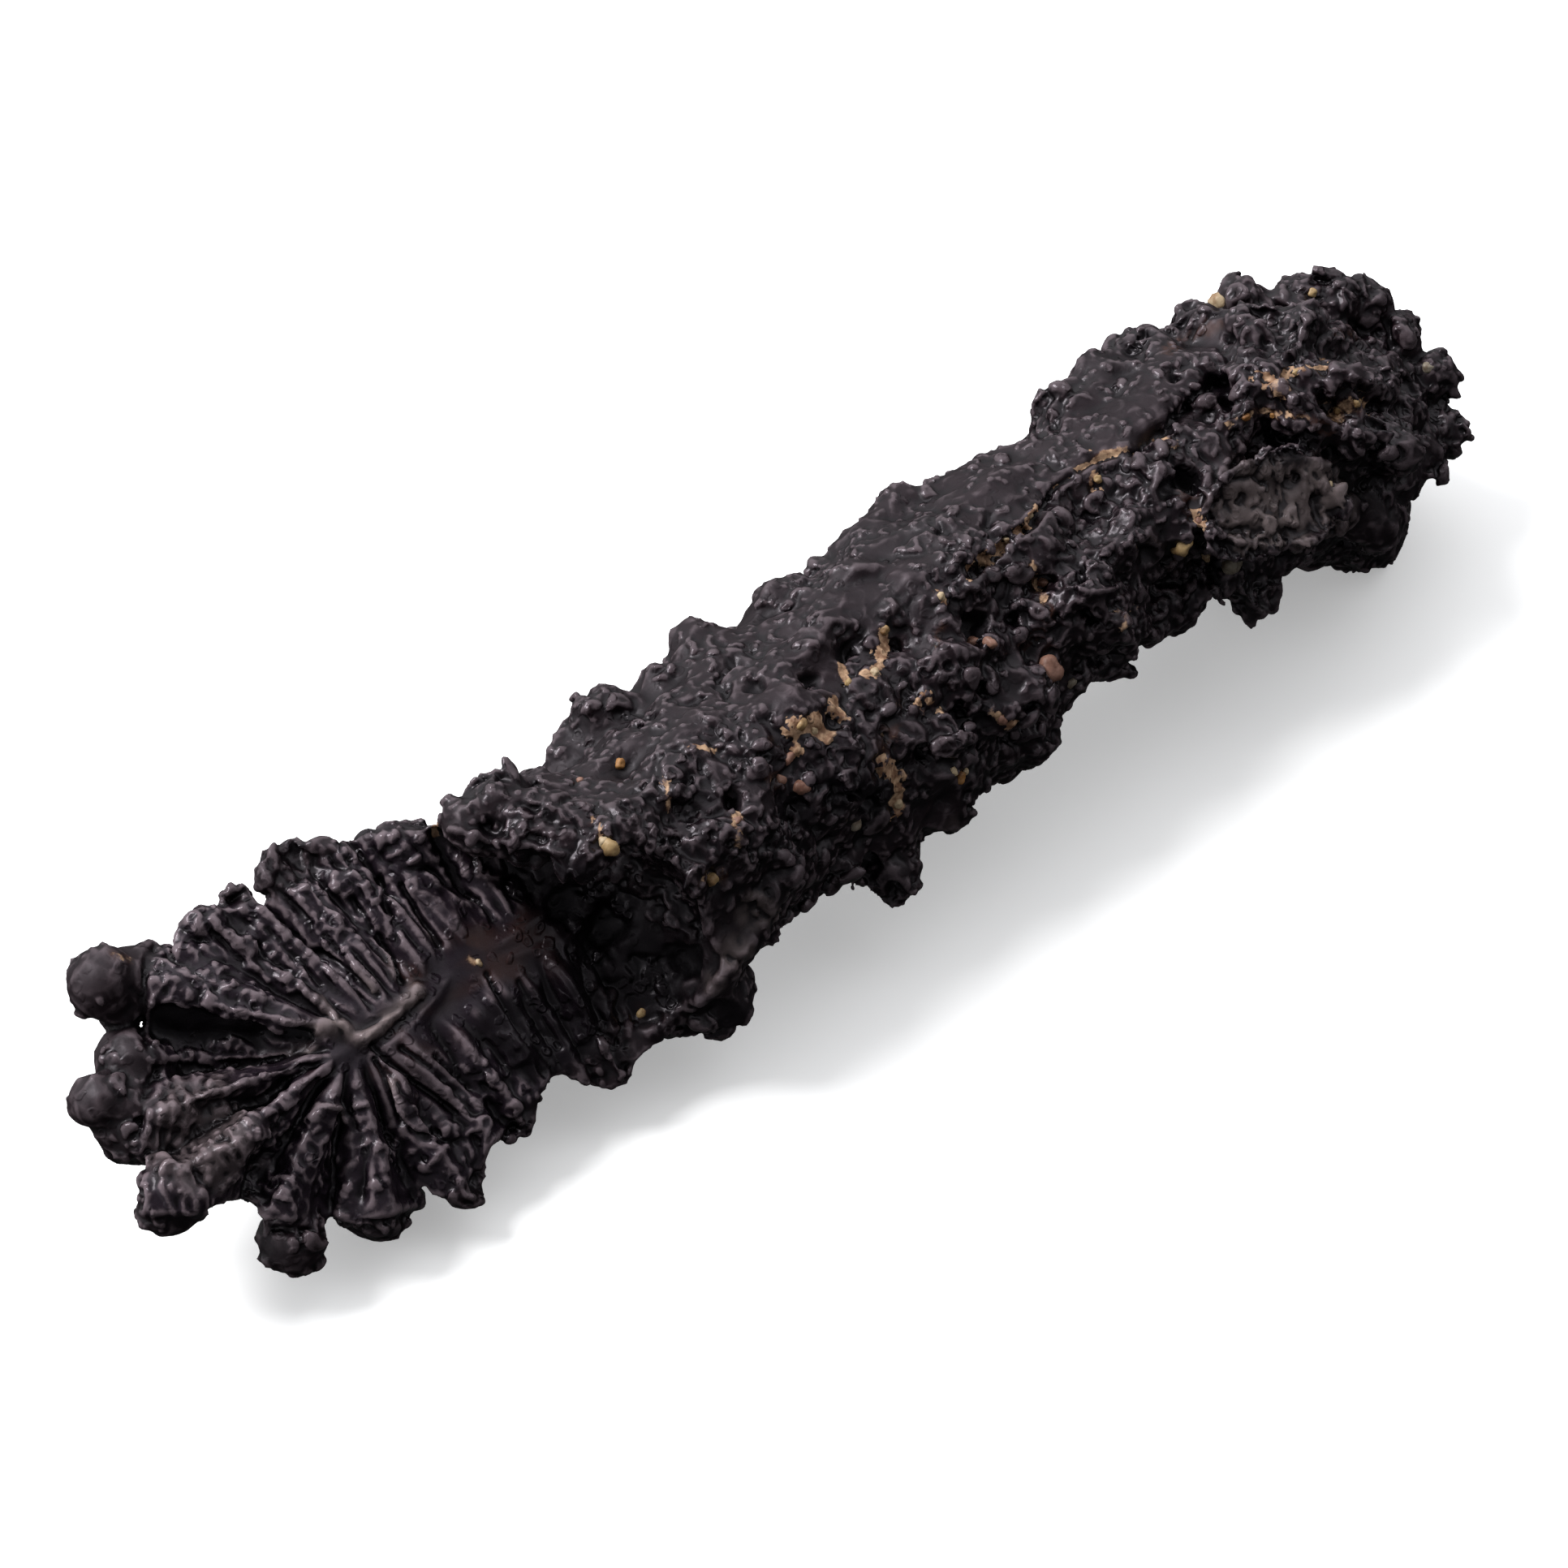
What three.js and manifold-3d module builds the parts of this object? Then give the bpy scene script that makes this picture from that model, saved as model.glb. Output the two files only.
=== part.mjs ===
// A prophecy stone: a stick-shaped iron-oxide concretion that grew as one piece. Needles of the
// mineral radiate from the stone's long axis. At the near end half of the stick has broken away
// down to that axis, so the needles show as a fan of ribs and grooves on the broken face. The rest
// is a skin of small rounded crystals, with larger knobs, a shelf that overhangs the break, a raised
// slab along the back and a flat ledge near the far end. Millimetres, +Z up.
//
// The stone is shaped in its own frame and then laid down. X runs along the axis, from the broken
// end (-) to the far end (+). Z points square out of the broken face, and Y across it towards the
// back. "Around" is an angle in degrees about X: 0 faces out of the break, 90 is the back edge,
// -90 the front edge.
import * as THREE from "three";
import { mergeVertices } from "three/addons/utils/BufferGeometryUtils.js";
import Module from "manifold-3d";

const wasm = await Module();
wasm.setup();

// Driving dimensions.
const NEAR_END = -28.8; // where the stick's own skin starts, before its end knobs
const FAR_END = 28.8;
const FACE_LEAN = 36.2; // degrees that the broken face leans from level towards the front
const AXIS_HEIGHT = 6.0; // the axis above the surface that the stone lies on
const MM_PER_DEGREE = 0.089; // over the skin, around the stick
const RINGS_ALONG = 78;
const POINTS_AROUND = 40;
const POINT_JITTER = 0.22; // how far the points of the skin stray from an even net
const RING_CROWDING = 0.15; // how much closer the rings lie at the ends than in the middle
const END_ROUNDING = 14; // power of the superellipse that closes both ends
const END_LEAN = 0.5; // how far both end faces lean, per millimetre of height over the axis
const END_LEAN_FROM = 18; // distance from the middle at which the lean begins
const END_LEAN_FULL = 26;
const CRYSTAL_COUNT = 330;
const CRYSTAL_RISE = 0.95;
const CRYSTAL_SIZE = [1.3, 2.0];
const SMOOTH_SHARE = 0.55; // of the crystals' rise that is left on the smoother slab of the back
const SKIN_SINK = 0.35; // how far the skin lies below the stick's edges between its crystals
const SLAB_RISE = 0.25; // how far the slab stands over the skin in front of the seam
const SLAB_EDGE = 8; // degrees over which it rises
const SEAM_DEPTH = 0.9;
const SEAM_WIDTH = 0.9;
const SEAM_REACH = 5.2; // from the axis to the skin at the seam
const SPOKES = 88; // spokes of the fan on the broken face
const SPOKE_LENGTH = 9.5; // of an unstretched spoke
const FAN_MIDDLE = [-16, 0.3];
const RIB_JITTER = 0.14;
const FACE_JITTER = 0.1;
const FACE_HEIGHT = 0.5; // the broken face over the axis
const RIM_STEP = 0.5; // how far the fan turns up where it meets the end wall
const CAVERN_DEPTH = 1.3; // how far the end wall is hollowed behind its lip
const SHELF_OVERHANG = 3; // how far the end wall leans over the fan at the back
const BOWL_LEAN = 1.6; // and how far it leans away from it at the front
const CUT_TOP = 9; // the tool that cuts the break reaches this far over the axis
const LUMP_ROUGHNESS = 0.14;
const SEED = 7;

// The stick's edges at places along it: [x, back edge y, front edge y, top z, bottom z].
const STICK = [
  [-28.8, 1.4, -1.2, 2.0, -2.0],
  [-27.6, 3.0, -1.9, 3.0, -3.0],
  [-26.5, 4.6, -2.8, 4.0, -4.0],
  [-25.3, 5.3, -4.1, 4.6, -4.6],
  [-24, 5.4, -4.8, 4.7, -4.9],
  [-21, 5.3, -5.2, 4.7, -5.1],
  [-18, 5.1, -5.0, 4.7, -5.1],
  [-15, 4.5, -4.7, 4.6, -5.0],
  [-12, 4.5, -4.9, 4.7, -4.9],
  [-9, 4.1, -5.0, 4.8, -4.8],
  [-5, 4.6, -3.8, 4.7, -4.7],
  [0, 4.7, -4.3, 4.7, -4.8],
  [5, 4.8, -4.1, 4.6, -4.8],
  [9, 4.8, -3.6, 4.5, -4.8],
  [13, 4.6, -2.9, 4.4, -5.0],
  [17, 5.2, -3.3, 4.5, -5.2],
  [21, 5.0, -3.9, 4.6, -5.3],
  [24, 4.6, -4.1, 4.6, -5.2],
  [26, 3.6, -4.1, 4.0, -4.9],
  [27.4, 2.3, -3.6, 3.2, -4.3],
  [28.8, 0.8, -2.4, 2.2, -3.0],
];

// Knobs of the skin whose place is known: [x, around, reach, size], with reach the distance from
// the axis to the knob's tip and size its radius.
const KNOBS = [
  // along the back edge
  [-22.5, 98, 6.8, 1.2],
  [-20.8, 97, 6.8, 0.9],
  [-18.4, 97, 7.0, 1.3],
  [-17.4, 95, 6.5, 0.9],
  [-16.6, 94, 6.2, 1.0],
  [-15.7, 94, 6.0, 0.9],
  [-14.8, 94, 5.5, 1.1],
  [-12.8, 72, 5.5, 1.5],
  [-10.4, 84, 4.9, 1.1],
  [-8.1, 92, 4.9, 1.0],
  [-6.5, 88, 5.9, 1.4],
  [-4.2, 86, 5.4, 1.1],
  [-2.0, 90, 6.0, 1.2],
  [1.5, 86, 5.7, 1.2],
  [3.6, 92, 5.4, 1.0],
  [5.4, 88, 5.7, 1.1],
  [7.5, 88, 6.1, 1.1],
  [9.5, 90, 5.7, 1.1],
  [11.3, 86, 5.4, 1.0],
  [14.8, 84, 6.2, 1.2],
  [17.0, 86, 6.4, 1.1],
  [19.2, 88, 6.3, 1.3],
  [21.7, 86, 6.1, 1.2],
  [23.9, 84, 6.1, 1.3],
  // along the front edge
  [-22.6, -102, 5.8, 1.1],
  [-19.2, -100, 6.6, 1.2],
  [-16.6, -100, 5.5, 1.2],
  [-12.6, -99, 6.0, 1.0],
  [-8.4, -94, 6.4, 1.3],
  [-0.4, -90, 6.0, 1.3],
  [2.2, -80, 5.2, 1.2],
  [5.2, -88, 4.7, 1.1],
  [7.8, -82, 4.3, 0.9],
  [11.4, -90, 4.1, 0.9],
  [14.4, -76, 3.8, 1.0],
  [17.3, -90, 5.2, 1.0],
  [23.3, -84, 5.4, 1.6],
  [26.8, -84, 4.7, 1.2],
  // on the far head
  [22.6, 60, 5.6, 1.3],
  [24.6, 40, 5.6, 1.2],
  [20.4, 30, 5.4, 1.1],
  [22.6, 22, 5.5, 1.1],
  [21.2, 2, 5.4, 1.2],
  [24.4, 6, 5.7, 1.1],
  [23.2, -16, 5.4, 1.1],
  [25.0, -34, 5.5, 1.3],
  // on the middle, seen from above
  [8.8, -8, 5.3, 1.1],
  [9.8, -28, 5.2, 1.3],
  [6.0, -34, 5.2, 1.2],
  [2.2, -36, 5.3, 1.1],
  [3.4, 60, 5.4, 1.1],
  [0.4, 42, 5.3, 1.0],
  [-2.6, -24, 5.2, 1.2],
  [-6.4, -10, 5.3, 1.3],
  [-8.4, 18, 5.4, 1.2],
];

// Hollows of the skin: [x, around, depth, size].
const HOLLOWS = [
  [2.6, 17, 0.7, 1.1],
  [4.5, 6, 0.6, 0.9],
  [8.3, 6, 0.6, 0.9],
  [2.2, -20, 0.7, 1.1],
  [11.2, 22, 0.9, 1.5],
  [13.2, 24, 0.8, 1.2],
  [14.9, -50, 1.2, 1.7],
  [18.8, 1, 1.5, 1.2],
  [18.0, 34, 0.9, 1.4],
  [20.5, -42, 0.9, 1.3],
  [-0.6, 24, 0.6, 1.0],
  [-8.2, 39, 0.5, 0.9],
  [13.0, -44, 0.7, 1.1],
  [6.8, -52, 0.6, 1.0],
];

// The seam under the smoother skin of the back, as [x, around].
const SEAM = [
  [3.6, 14],
  [5, 19],
  [6.5, 25],
  [8, 28.5],
  [9.5, 31],
  [11, 35],
  [12.5, 34],
  [14, 31],
  [16, 35],
  [18, 37.5],
  [19.6, 34],
];

// Knobs that close the two ends: [x, y, z of the centre, then the radius].
const END_KNOBS = [
  [-25.5, 6.1, -1.3, 1.3],
  [-24.4, 5.4, -1.7, 1.4],
  [-28.0, 2.9, -1.2, 1.1],
  [-27.3, 1.9, -1.5, 1.4],
  [-26.2, 3.4, -1.7, 1.2],
  [-28.0, -0.6, -0.9, 1.25],
  [-24.9, -3.9, -1.7, 1.15],
  [28.1, -2.9, 0.0, 1.1],
  [28.6, -1.1, 0.3, 1.2],
  [28.2, 0.8, 0.4, 1.2],
  [27.7, 2.4, 0.6, 1.15],
  [26.6, 2.9, 0.6, 1.2],
  [25.5, 3.8, 0.3, 1.25],
  [27.9, 1.2, -2.5, 1.3],
  [28.2, -1.4, -2.9, 1.4],
];

// Lumps of the shelf that overhangs the break: [x, y, z of the centre, then the radii along them].
const SHELF = [
  [-12.9, 4.0, 2.4, 1.7, 1.3, 1.3],
  [-12.3, 2.9, 3.3, 1.5, 1.2, 1.1],
  [-11.5, 1.6, 4.1, 1.5, 1.3, 0.8],
];

// The flat ledge near the far end.
const LEDGE_CENTRE = [17.6, -1.5, 3.95];
const LEDGE_SIZE = [3.3, 2.0, 0.9]; // half its length, half its width and its thickness
const LEDGE_TURN = -12; // degrees about Z
const LEDGE_LEAN = 21; // degrees about X
const LEDGE_SIDES = 16;

// Knobs that the stone rests on, placed and sized like KNOBS. They are worn flat underneath.
const FEET = [
  [-22.0, -124, 6.6, 2.0],
  [-18.0, -166, 6.6, 2.0],
  [20.5, -166, 6.7, 2.0],
  [24.0, -124, 6.7, 2.0],
];

// The fan on the broken face: [share of the way round, start x, start y, direction in degrees,
// length]. It begins at the foot of the break's end wall and runs along the back, round the end and
// along the front.
const FAN = [
  [0.0, -11.8, -0.3, 20, 0.6],
  [0.04, -12.2, 0.2, 62, 1.5],
  [0.08, -12.8, 0.3, 86, 2.5],
  [0.14, -14.0, 0.4, 92, 3.9],
  [0.18, -15.2, 0.4, 92, 5.2],
  [0.2, -15.9, 0.4, 92, 9],
  [0.38, -20.0, 0.4, 100, 9],
  [0.44, -20.7, 0.4, 125, 10],
  [0.5, -21.0, 0.3, 155, 12],
  [0.56, -21.0, 0.2, 185, 12],
  [0.62, -21.0, 0.0, 215, 12],
  [0.68, -20.8, -0.2, 245, 11],
  [0.72, -20.4, -0.2, 268, 9.5],
  [0.76, -19.5, -0.2, 284, 9.5],
  [0.84, -16.0, -0.2, 280, 9.5],
  [0.91, -13.3, -0.3, 274, 9.5],
  [0.95, -12.4, -0.4, 268, 8],
  [0.97, -12.1, -0.5, 290, 4.2],
  [0.985, -11.9, -0.5, 330, 1.6],
  [1.0, -11.8, -0.3, 380, 0.6],
];

// How high the fan stands at places round it: ribs above 0, grooves below.
const RIBS = [
  [0.0, 0.0],
  [0.05, 0.1],
  [0.07, -0.3],
  [0.1, 0.15],
  [0.13, -0.3],
  [0.15, 0.2],
  [0.18, 0.15],
  [0.2, -0.7],
  [0.215, 0.1],
  [0.25, 0.0],
  [0.27, -0.6],
  [0.285, 0.1],
  [0.32, 0.2],
  [0.34, -0.8],
  [0.352, 0.1],
  [0.373, 0.2],
  [0.384, -0.6],
  [0.394, 0.2],
  [0.405, 0.2],
  [0.415, -0.7],
  [0.425, 0.3],
  [0.45, 0.3],
  [0.472, -0.9],
  [0.487, -1.6],
  [0.505, -1.3],
  [0.515, 0.3],
  [0.527, 0.3],
  [0.538, -0.8],
  [0.549, -0.6],
  [0.56, 0.4],
  [0.582, 0.4],
  [0.595, -0.9],
  [0.606, -0.6],
  [0.618, 0.3],
  [0.632, 0.1],
  [0.64, 0.2],
  [0.656, -0.9],
  [0.668, -0.4],
  [0.678, 0.3],
  [0.695, 0.2],
  [0.71, -0.9],
  [0.725, -0.5],
  [0.738, 0.4],
  [0.752, -0.6],
  [0.765, 0.2],
  [0.778, 0.2],
  [0.79, -0.5],
  [0.81, 0.2],
  [0.83, -0.3],
  [0.85, 0.2],
  [0.87, -0.3],
  [0.89, 0.1],
  [0.9, -0.5],
  [0.915, 0.5],
  [0.93, 0.6],
  [0.94, -0.6],
  [0.95, 0.6],
  [0.96, -0.2],
  [0.97, 0.1],
  [1.0, 0.0],
];
const FAN_RINGS = [0.2, 0.9, 1.8, 2.8, 3.9, 5.0, 6.2, SPOKE_LENGTH]; // distances along a spoke
const WALL_STEPS = [0.1, 0.28, 0.5]; // shares of the way up the break's end wall

const degrees = THREE.MathUtils.degToRad;
const { lerp, smoothstep, clamp } = THREE.MathUtils;

// Seeded random numbers from 0 to 1, the same at every run.
function randomSource(seed) {
  let state = seed;
  return () => {
    state = (state * 1664525 + 1013904223) % 4294967296;
    return state / 4294967296;
  };
}

// Row of the table at key, with its columns blended between the rows on each side.
function blended(table, key) {
  const last = table.length - 1;
  const next = clamp(table.findIndex((row) => row[0] >= key), 1, last);
  const before = table[next - 1];
  const after = table[next];
  const share = clamp((key - before[0]) / (after[0] - before[0]), 0, 1);
  return before.map((value, column) => lerp(value, after[column], share));
}

// A closed three.js geometry as a manifold-3d solid that faces out.
function solidOf(geometry) {
  const merged = bareShape(geometry.clone());
  const triVerts = new Uint32Array(merged.index.array);
  const vertProperties = merged.attributes.position.array;
  const make = () => new wasm.Manifold(new wasm.Mesh({ numProp: 3, vertProperties, triVerts }));
  const solid = make();
  if (solid.volume() > 0) return solid;
  for (let i = 0; i < triVerts.length; i += 3) {
    [triVerts[i + 1], triVerts[i + 2]] = [triVerts[i + 2], triVerts[i + 1]];
  }
  return make();
}

function geometryOf(solid) {
  const mesh = solid.getMesh();
  const geometry = new THREE.BufferGeometry();
  geometry.setAttribute("position", new THREE.BufferAttribute(mesh.vertProperties, 3));
  geometry.setIndex(new THREE.BufferAttribute(mesh.triVerts, 1));
  return geometry;
}

// Seeded crystals that cover the skin: places [x, around, rise, size].
function crystals(random) {
  return Array.from({ length: CRYSTAL_COUNT }, () => {
    const x = lerp(NEAR_END, FAR_END, random());
    const around = 360 * random() - 180;
    const smooth = around > 32 && around < 85 && x > -11 && x < 20 ? SMOOTH_SHARE : 1;
    const size = lerp(...CRYSTAL_SIZE, random());
    return [x, around, CRYSTAL_RISE * smooth * lerp(0.6, 1.2, random()), size];
  });
}

// Distance over the skin from a listed place to the point at x and around (degrees).
function distanceTo(place, x, around) {
  const turn = ((around - place[1] + 540) % 360) - 180;
  return Math.hypot(x - place[0], turn * MM_PER_DEGREE);
}

// Height of a dome of the given size, at a distance from its middle, as a share of its rise.
function dome(distance, size) {
  return distance < size ? 1 - (distance / size) ** 2 : 0;
}

// The largest dome of the places at x and around.
function highest(places, x, around) {
  return Math.max(0, ...places.map((p) => p[2] * dome(distanceTo(p, x, around), p[3])));
}

// How far the slab of the back stands over the skin at x and around.
function slabRise(x, around) {
  if (x < SEAM[0][0] || x > SEAM[SEAM.length - 1][0] || around > 85) return 0;
  const [, seam] = blended(SEAM, x);
  return SLAB_RISE * smoothstep(around, seam, seam + SLAB_EDGE);
}

// The point of the skin at x and around (degrees), on the stick closed to the share closing.
function skinPoint(x, around, closing, bumps) {
  const [, back, front, top, bottom] = blended(STICK, x);
  const y = (back + front) / 2 + ((back - front) / 2) * closing * Math.sin(degrees(around));
  const z = (top + bottom) / 2 + ((top - bottom) / 2) * closing * Math.cos(degrees(around));
  const radius = Math.hypot(y, z);
  const turned = THREE.MathUtils.radToDeg(Math.atan2(y, z));
  let reach = radius - SKIN_SINK + highest(bumps, x, turned);
  reach += slabRise(x, turned) - highest(HOLLOWS, x, turned);
  for (const [knobX, knobAround, tip, size] of [...KNOBS, ...FEET]) {
    const distance = distanceTo([knobX, knobAround], x, turned);
    if (distance < size) reach = Math.max(reach, tip - size + Math.sqrt(size ** 2 - distance ** 2));
  }
  const scale = lerp(radius, reach, closing) / radius;
  const lean = END_LEAN * smoothstep(Math.abs(x), END_LEAN_FROM, END_LEAN_FULL);
  return new THREE.Vector3(x - lean * z, y * scale, z * scale);
}

// A three.js shape with each corner kept once, so that it can be moved without tearing.
function bareShape(geometry) {
  geometry.deleteAttribute("normal");
  geometry.deleteAttribute("uv");
  return mergeVertices(geometry, 1e-4);
}

// The whole stick before it broke: a sphere drawn out along X.
function stick(random) {
  const ball = bareShape(new THREE.SphereGeometry(1, POINTS_AROUND, RINGS_ALONG));
  const position = ball.attributes.position;
  const bumps = crystals(random);
  const middle = (NEAR_END + FAR_END) / 2;
  const half = (FAR_END - NEAR_END) / 2;
  for (let i = 0; i < position.count; i++) {
    const point = new THREE.Vector3().fromBufferAttribute(position, i);
    const share = 1 - (2 * Math.acos(clamp(point.y, -1, 1))) / Math.PI;
    const along = share * (1 + RING_CROWDING - RING_CROWDING * share * share);
    const closing = Math.max(0.02, 1 - Math.abs(along) ** END_ROUNDING) ** 0.5;
    const pole = Math.hypot(point.x, point.z) < 1e-6;
    const strayX = POINT_JITTER * (2 * random() - 1) * (1 - share ** 6);
    const strayAround = (POINT_JITTER * (2 * random() - 1)) / MM_PER_DEGREE;
    const around = pole ? 0 : THREE.MathUtils.radToDeg(Math.atan2(point.x, point.z)) + strayAround;
    const skin = skinPoint(middle + half * along + strayX, around, pole ? 0 : closing, bumps);
    position.setXYZ(i, skin.x, skin.y, skin.z);
  }
  return solidOf(ball);
}

// A rough rounded lump of the given radii.
function lump(centre, radii, random) {
  const ball = bareShape(new THREE.IcosahedronGeometry(1, 1));
  const position = ball.attributes.position;
  for (let i = 0; i < position.count; i++) {
    const point = new THREE.Vector3().fromBufferAttribute(position, i);
    point.multiplyScalar(1 + LUMP_ROUGHNESS * (2 * random() - 1));
    position.setXYZ(i, point.x, point.y, point.z);
  }
  ball.rotateX(6 * random());
  ball.rotateY(6 * random());
  ball.scale(...radii);
  ball.translate(...centre);
  return solidOf(ball);
}

// The face of the break without its ribs: a low roof along the axis that falls away to the end.
function faceLevel(x, y) {
  const pastAxis = Math.max(0, -21 - x);
  const offRidge = Math.max(0, y - 0.3) * 0.17 + Math.max(0, 0.1 - y) * 0.22;
  const hollow = 0.45 * Math.exp(-((x + 16.2) ** 2) / 2) * Math.exp(-(y ** 2) / 1.5);
  const wave = 0.08 * Math.sin(1.9 * x);
  return FACE_HEIGHT + wave - offRidge - hollow - 0.012 * pastAxis * pastAxis;
}

// The tool that takes away the broken half. Its underside is the fan, spun as a lathe whose spokes
// are then laid along the needles. Its side is the end wall, hollowed under the shelf.
function breakTool(random) {
  const bottomRings = FAN_RINGS.length;
  const profile = [new THREE.Vector2(0, 0)];
  FAN_RINGS.forEach((distance) => profile.push(new THREE.Vector2(distance, 0)));
  WALL_STEPS.forEach((step) => profile.push(new THREE.Vector2(SPOKE_LENGTH, step)));
  profile.push(new THREE.Vector2(SPOKE_LENGTH, 1), new THREE.Vector2(0, 1));
  const geometry = new THREE.LatheGeometry(profile, SPOKES);
  const position = geometry.attributes.position;
  const jitter = Array.from({ length: SPOKES }, () => RIB_JITTER * (2 * random() - 1));
  const roughness = profile.map(() => jitter.map(() => FACE_JITTER * (2 * random() - 1)));
  for (let spoke = 0; spoke <= SPOKES; spoke++) {
    const share = (spoke % SPOKES) / SPOKES;
    const [, startX, startY, direction, length] = blended(FAN, share);
    const [, rib] = blended(RIBS, share);
    const alongX = Math.cos(degrees(direction));
    const alongY = Math.sin(degrees(direction));
    const flare = endWallFlare(share);
    profile.forEach((corner, ring) => {
      const index = spoke * profile.length + ring;
      if (corner.x === 0) {
        position.setXYZ(index, ...FAN_MIDDLE, corner.y === 0 ? faceLevel(...FAN_MIDDLE) : CUT_TOP);
        return;
      }
      const reach = (corner.x / SPOKE_LENGTH) * length;
      const bulge = CAVERN_DEPTH * Math.sin(Math.PI * Math.min(1, corner.y / 0.55));
      const past = flare * corner.y + bulge;
      const x = startX + alongX * (reach + past);
      const y = startY + alongY * (reach + past);
      const depth = smoothstep(reach, 0, 2) * (1 - smoothstep(reach, 7, 8));
      const rough = corner.y === 0 ? roughness[ring][spoke % SPOKES] * smoothstep(reach, 0, 1) : 0;
      const fan = faceLevel(x, y) + rough + (rib + jitter[spoke % SPOKES]) * depth;
      const floor = fan + (ring === bottomRings ? RIM_STEP : 0);
      position.setXYZ(index, x, y, lerp(floor, CUT_TOP, corner.y));
    });
  }
  return solidOf(geometry);
}

// How far the end wall leans outward over its height: back over the fan at the shelf, and away from
// it as an open bowl at the front.
function endWallFlare(share) {
  const front = share > 0.5 ? smoothstep(share, 0.93, 0.97) : 1 - smoothstep(share, 0.0, 0.05);
  return lerp(-SHELF_OVERHANG, BOWL_LEAN, front);
}

// The ledge: a flat plate with a ragged rim that draws in underneath.
function ledge(random) {
  const disc = bareShape(new THREE.CylinderGeometry(1, 0.7, 1, LEDGE_SIDES));
  const position = disc.attributes.position;
  for (let i = 0; i < position.count; i++) {
    const ragged = 1 + 0.12 * (2 * random() - 1);
    position.setX(i, position.getX(i) * ragged);
    position.setY(i, position.getY(i) + 0.2 * (2 * random() - 1));
    position.setZ(i, position.getZ(i) * ragged);
  }
  disc.rotateX(degrees(90));
  disc.scale(...LEDGE_SIZE);
  disc.rotateZ(degrees(LEDGE_TURN));
  disc.rotateX(degrees(LEDGE_LEAN));
  disc.translate(...LEDGE_CENTRE);
  return solidOf(disc);
}

// The wedge that cuts the seam into the skin: a tapering strip bent along it.
function seamTool() {
  const steps = SEAM.length - 1;
  const strip = new THREE.CylinderGeometry(1, 1, 1, 4, 2 * steps);
  const position = strip.attributes.position;
  for (let i = 0; i < position.count; i++) {
    const point = new THREE.Vector3().fromBufferAttribute(position, i);
    const x = lerp(SEAM[0][0], SEAM[steps][0], clamp(point.y + 0.5, 0, 1));
    const taper = Math.sin(Math.PI * clamp(point.y + 0.5, 0.04, 0.96));
    const [, middle] = blended(SEAM, x);
    const around = degrees(middle) + (point.x * SEAM_WIDTH * taper) / (2 * SEAM_REACH);
    const radius = SEAM_REACH + point.z * SEAM_DEPTH * taper;
    position.setXYZ(i, x, radius * Math.sin(around), radius * Math.cos(around));
  }
  return solidOf(strip);
}

function buildStone() {
  const random = randomSource(SEED);
  const whole = stick(random).subtract(seamTool());
  const broken = whole.subtract(breakTool(random));
  const added = [
    ...END_KNOBS.map(([x, y, z, size]) => lump([x, y, z], [size, size, size], random)),
    ...SHELF.map((row) => lump(row.slice(0, 3), row.slice(3), random)),
    ledge(random),
  ];
  return added.reduce((stone, piece) => stone.add(piece), broken);
}

// Lays the stone down, wears its feet flat and puts the origin under its middle.
function laidDown(stone) {
  const geometry = geometryOf(stone);
  geometry.rotateX(degrees(FACE_LEAN));
  geometry.translate(0, 0, AXIS_HEIGHT);
  const below = new THREE.BoxGeometry(80, 40, 20);
  below.translate(0, 0, -10);
  const worn = geometryOf(solidOf(geometry).subtract(solidOf(below)));
  worn.computeBoundingBox();
  const centre = worn.boundingBox.getCenter(new THREE.Vector3());
  worn.translate(-centre.x, -centre.y, 0);
  return worn;
}

const varnish = new THREE.MeshStandardMaterial({ color: 0x2a2422, roughness: 0.45, metalness: 0.1 });

const stone = new THREE.Mesh(laidDown(buildStone()), varnish);
stone.name = "stone";

const part = new THREE.Group();
part.add(stone);
export default part;
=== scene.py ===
"""A prophecy stone lying on white paper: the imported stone, dressed in its fine skin of crystals."""

import itertools
import math

import bmesh
import bpy
import numpy as np
from mathutils import Matrix, Vector
from mathutils.bvhtree import BVHTree
from mathutils.kdtree import KDTree


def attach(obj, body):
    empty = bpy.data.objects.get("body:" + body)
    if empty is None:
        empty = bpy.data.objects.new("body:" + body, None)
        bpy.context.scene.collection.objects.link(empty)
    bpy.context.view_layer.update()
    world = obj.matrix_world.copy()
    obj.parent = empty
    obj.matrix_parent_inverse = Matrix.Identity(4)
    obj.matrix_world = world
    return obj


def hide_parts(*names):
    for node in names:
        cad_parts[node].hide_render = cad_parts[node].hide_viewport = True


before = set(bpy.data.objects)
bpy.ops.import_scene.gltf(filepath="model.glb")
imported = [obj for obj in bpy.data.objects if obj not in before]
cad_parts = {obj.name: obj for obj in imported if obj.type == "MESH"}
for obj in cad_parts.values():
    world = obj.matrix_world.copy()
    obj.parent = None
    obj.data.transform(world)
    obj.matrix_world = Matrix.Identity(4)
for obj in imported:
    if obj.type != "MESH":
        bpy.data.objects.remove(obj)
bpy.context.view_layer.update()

# The stone's own frame, in millimetres: X along its axis, Z square out of the broken face. It is
# turned by FACE_LEAN about X, lifted to AXIS_HEIGHT and moved by -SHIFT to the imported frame.
FACE_LEAN = math.radians(36.2)
AXIS_HEIGHT = 6.0
SHIFT = np.array([0.281, 0.824, 0.0])

# The camera: seen from azimuth -43 and 45 degrees up, 220 mm from the middle of the view.
CAMERA_AT = np.array([-107.622, -113.627, 160.627])  # before SHIFT is taken off
CAMERA_AZIMUTH = math.radians(-43)
CAMERA_RISE = math.radians(45)
FRAME_PX = 1932
FOCAL_PX = 8140.0
SENSOR = 36.0

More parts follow.
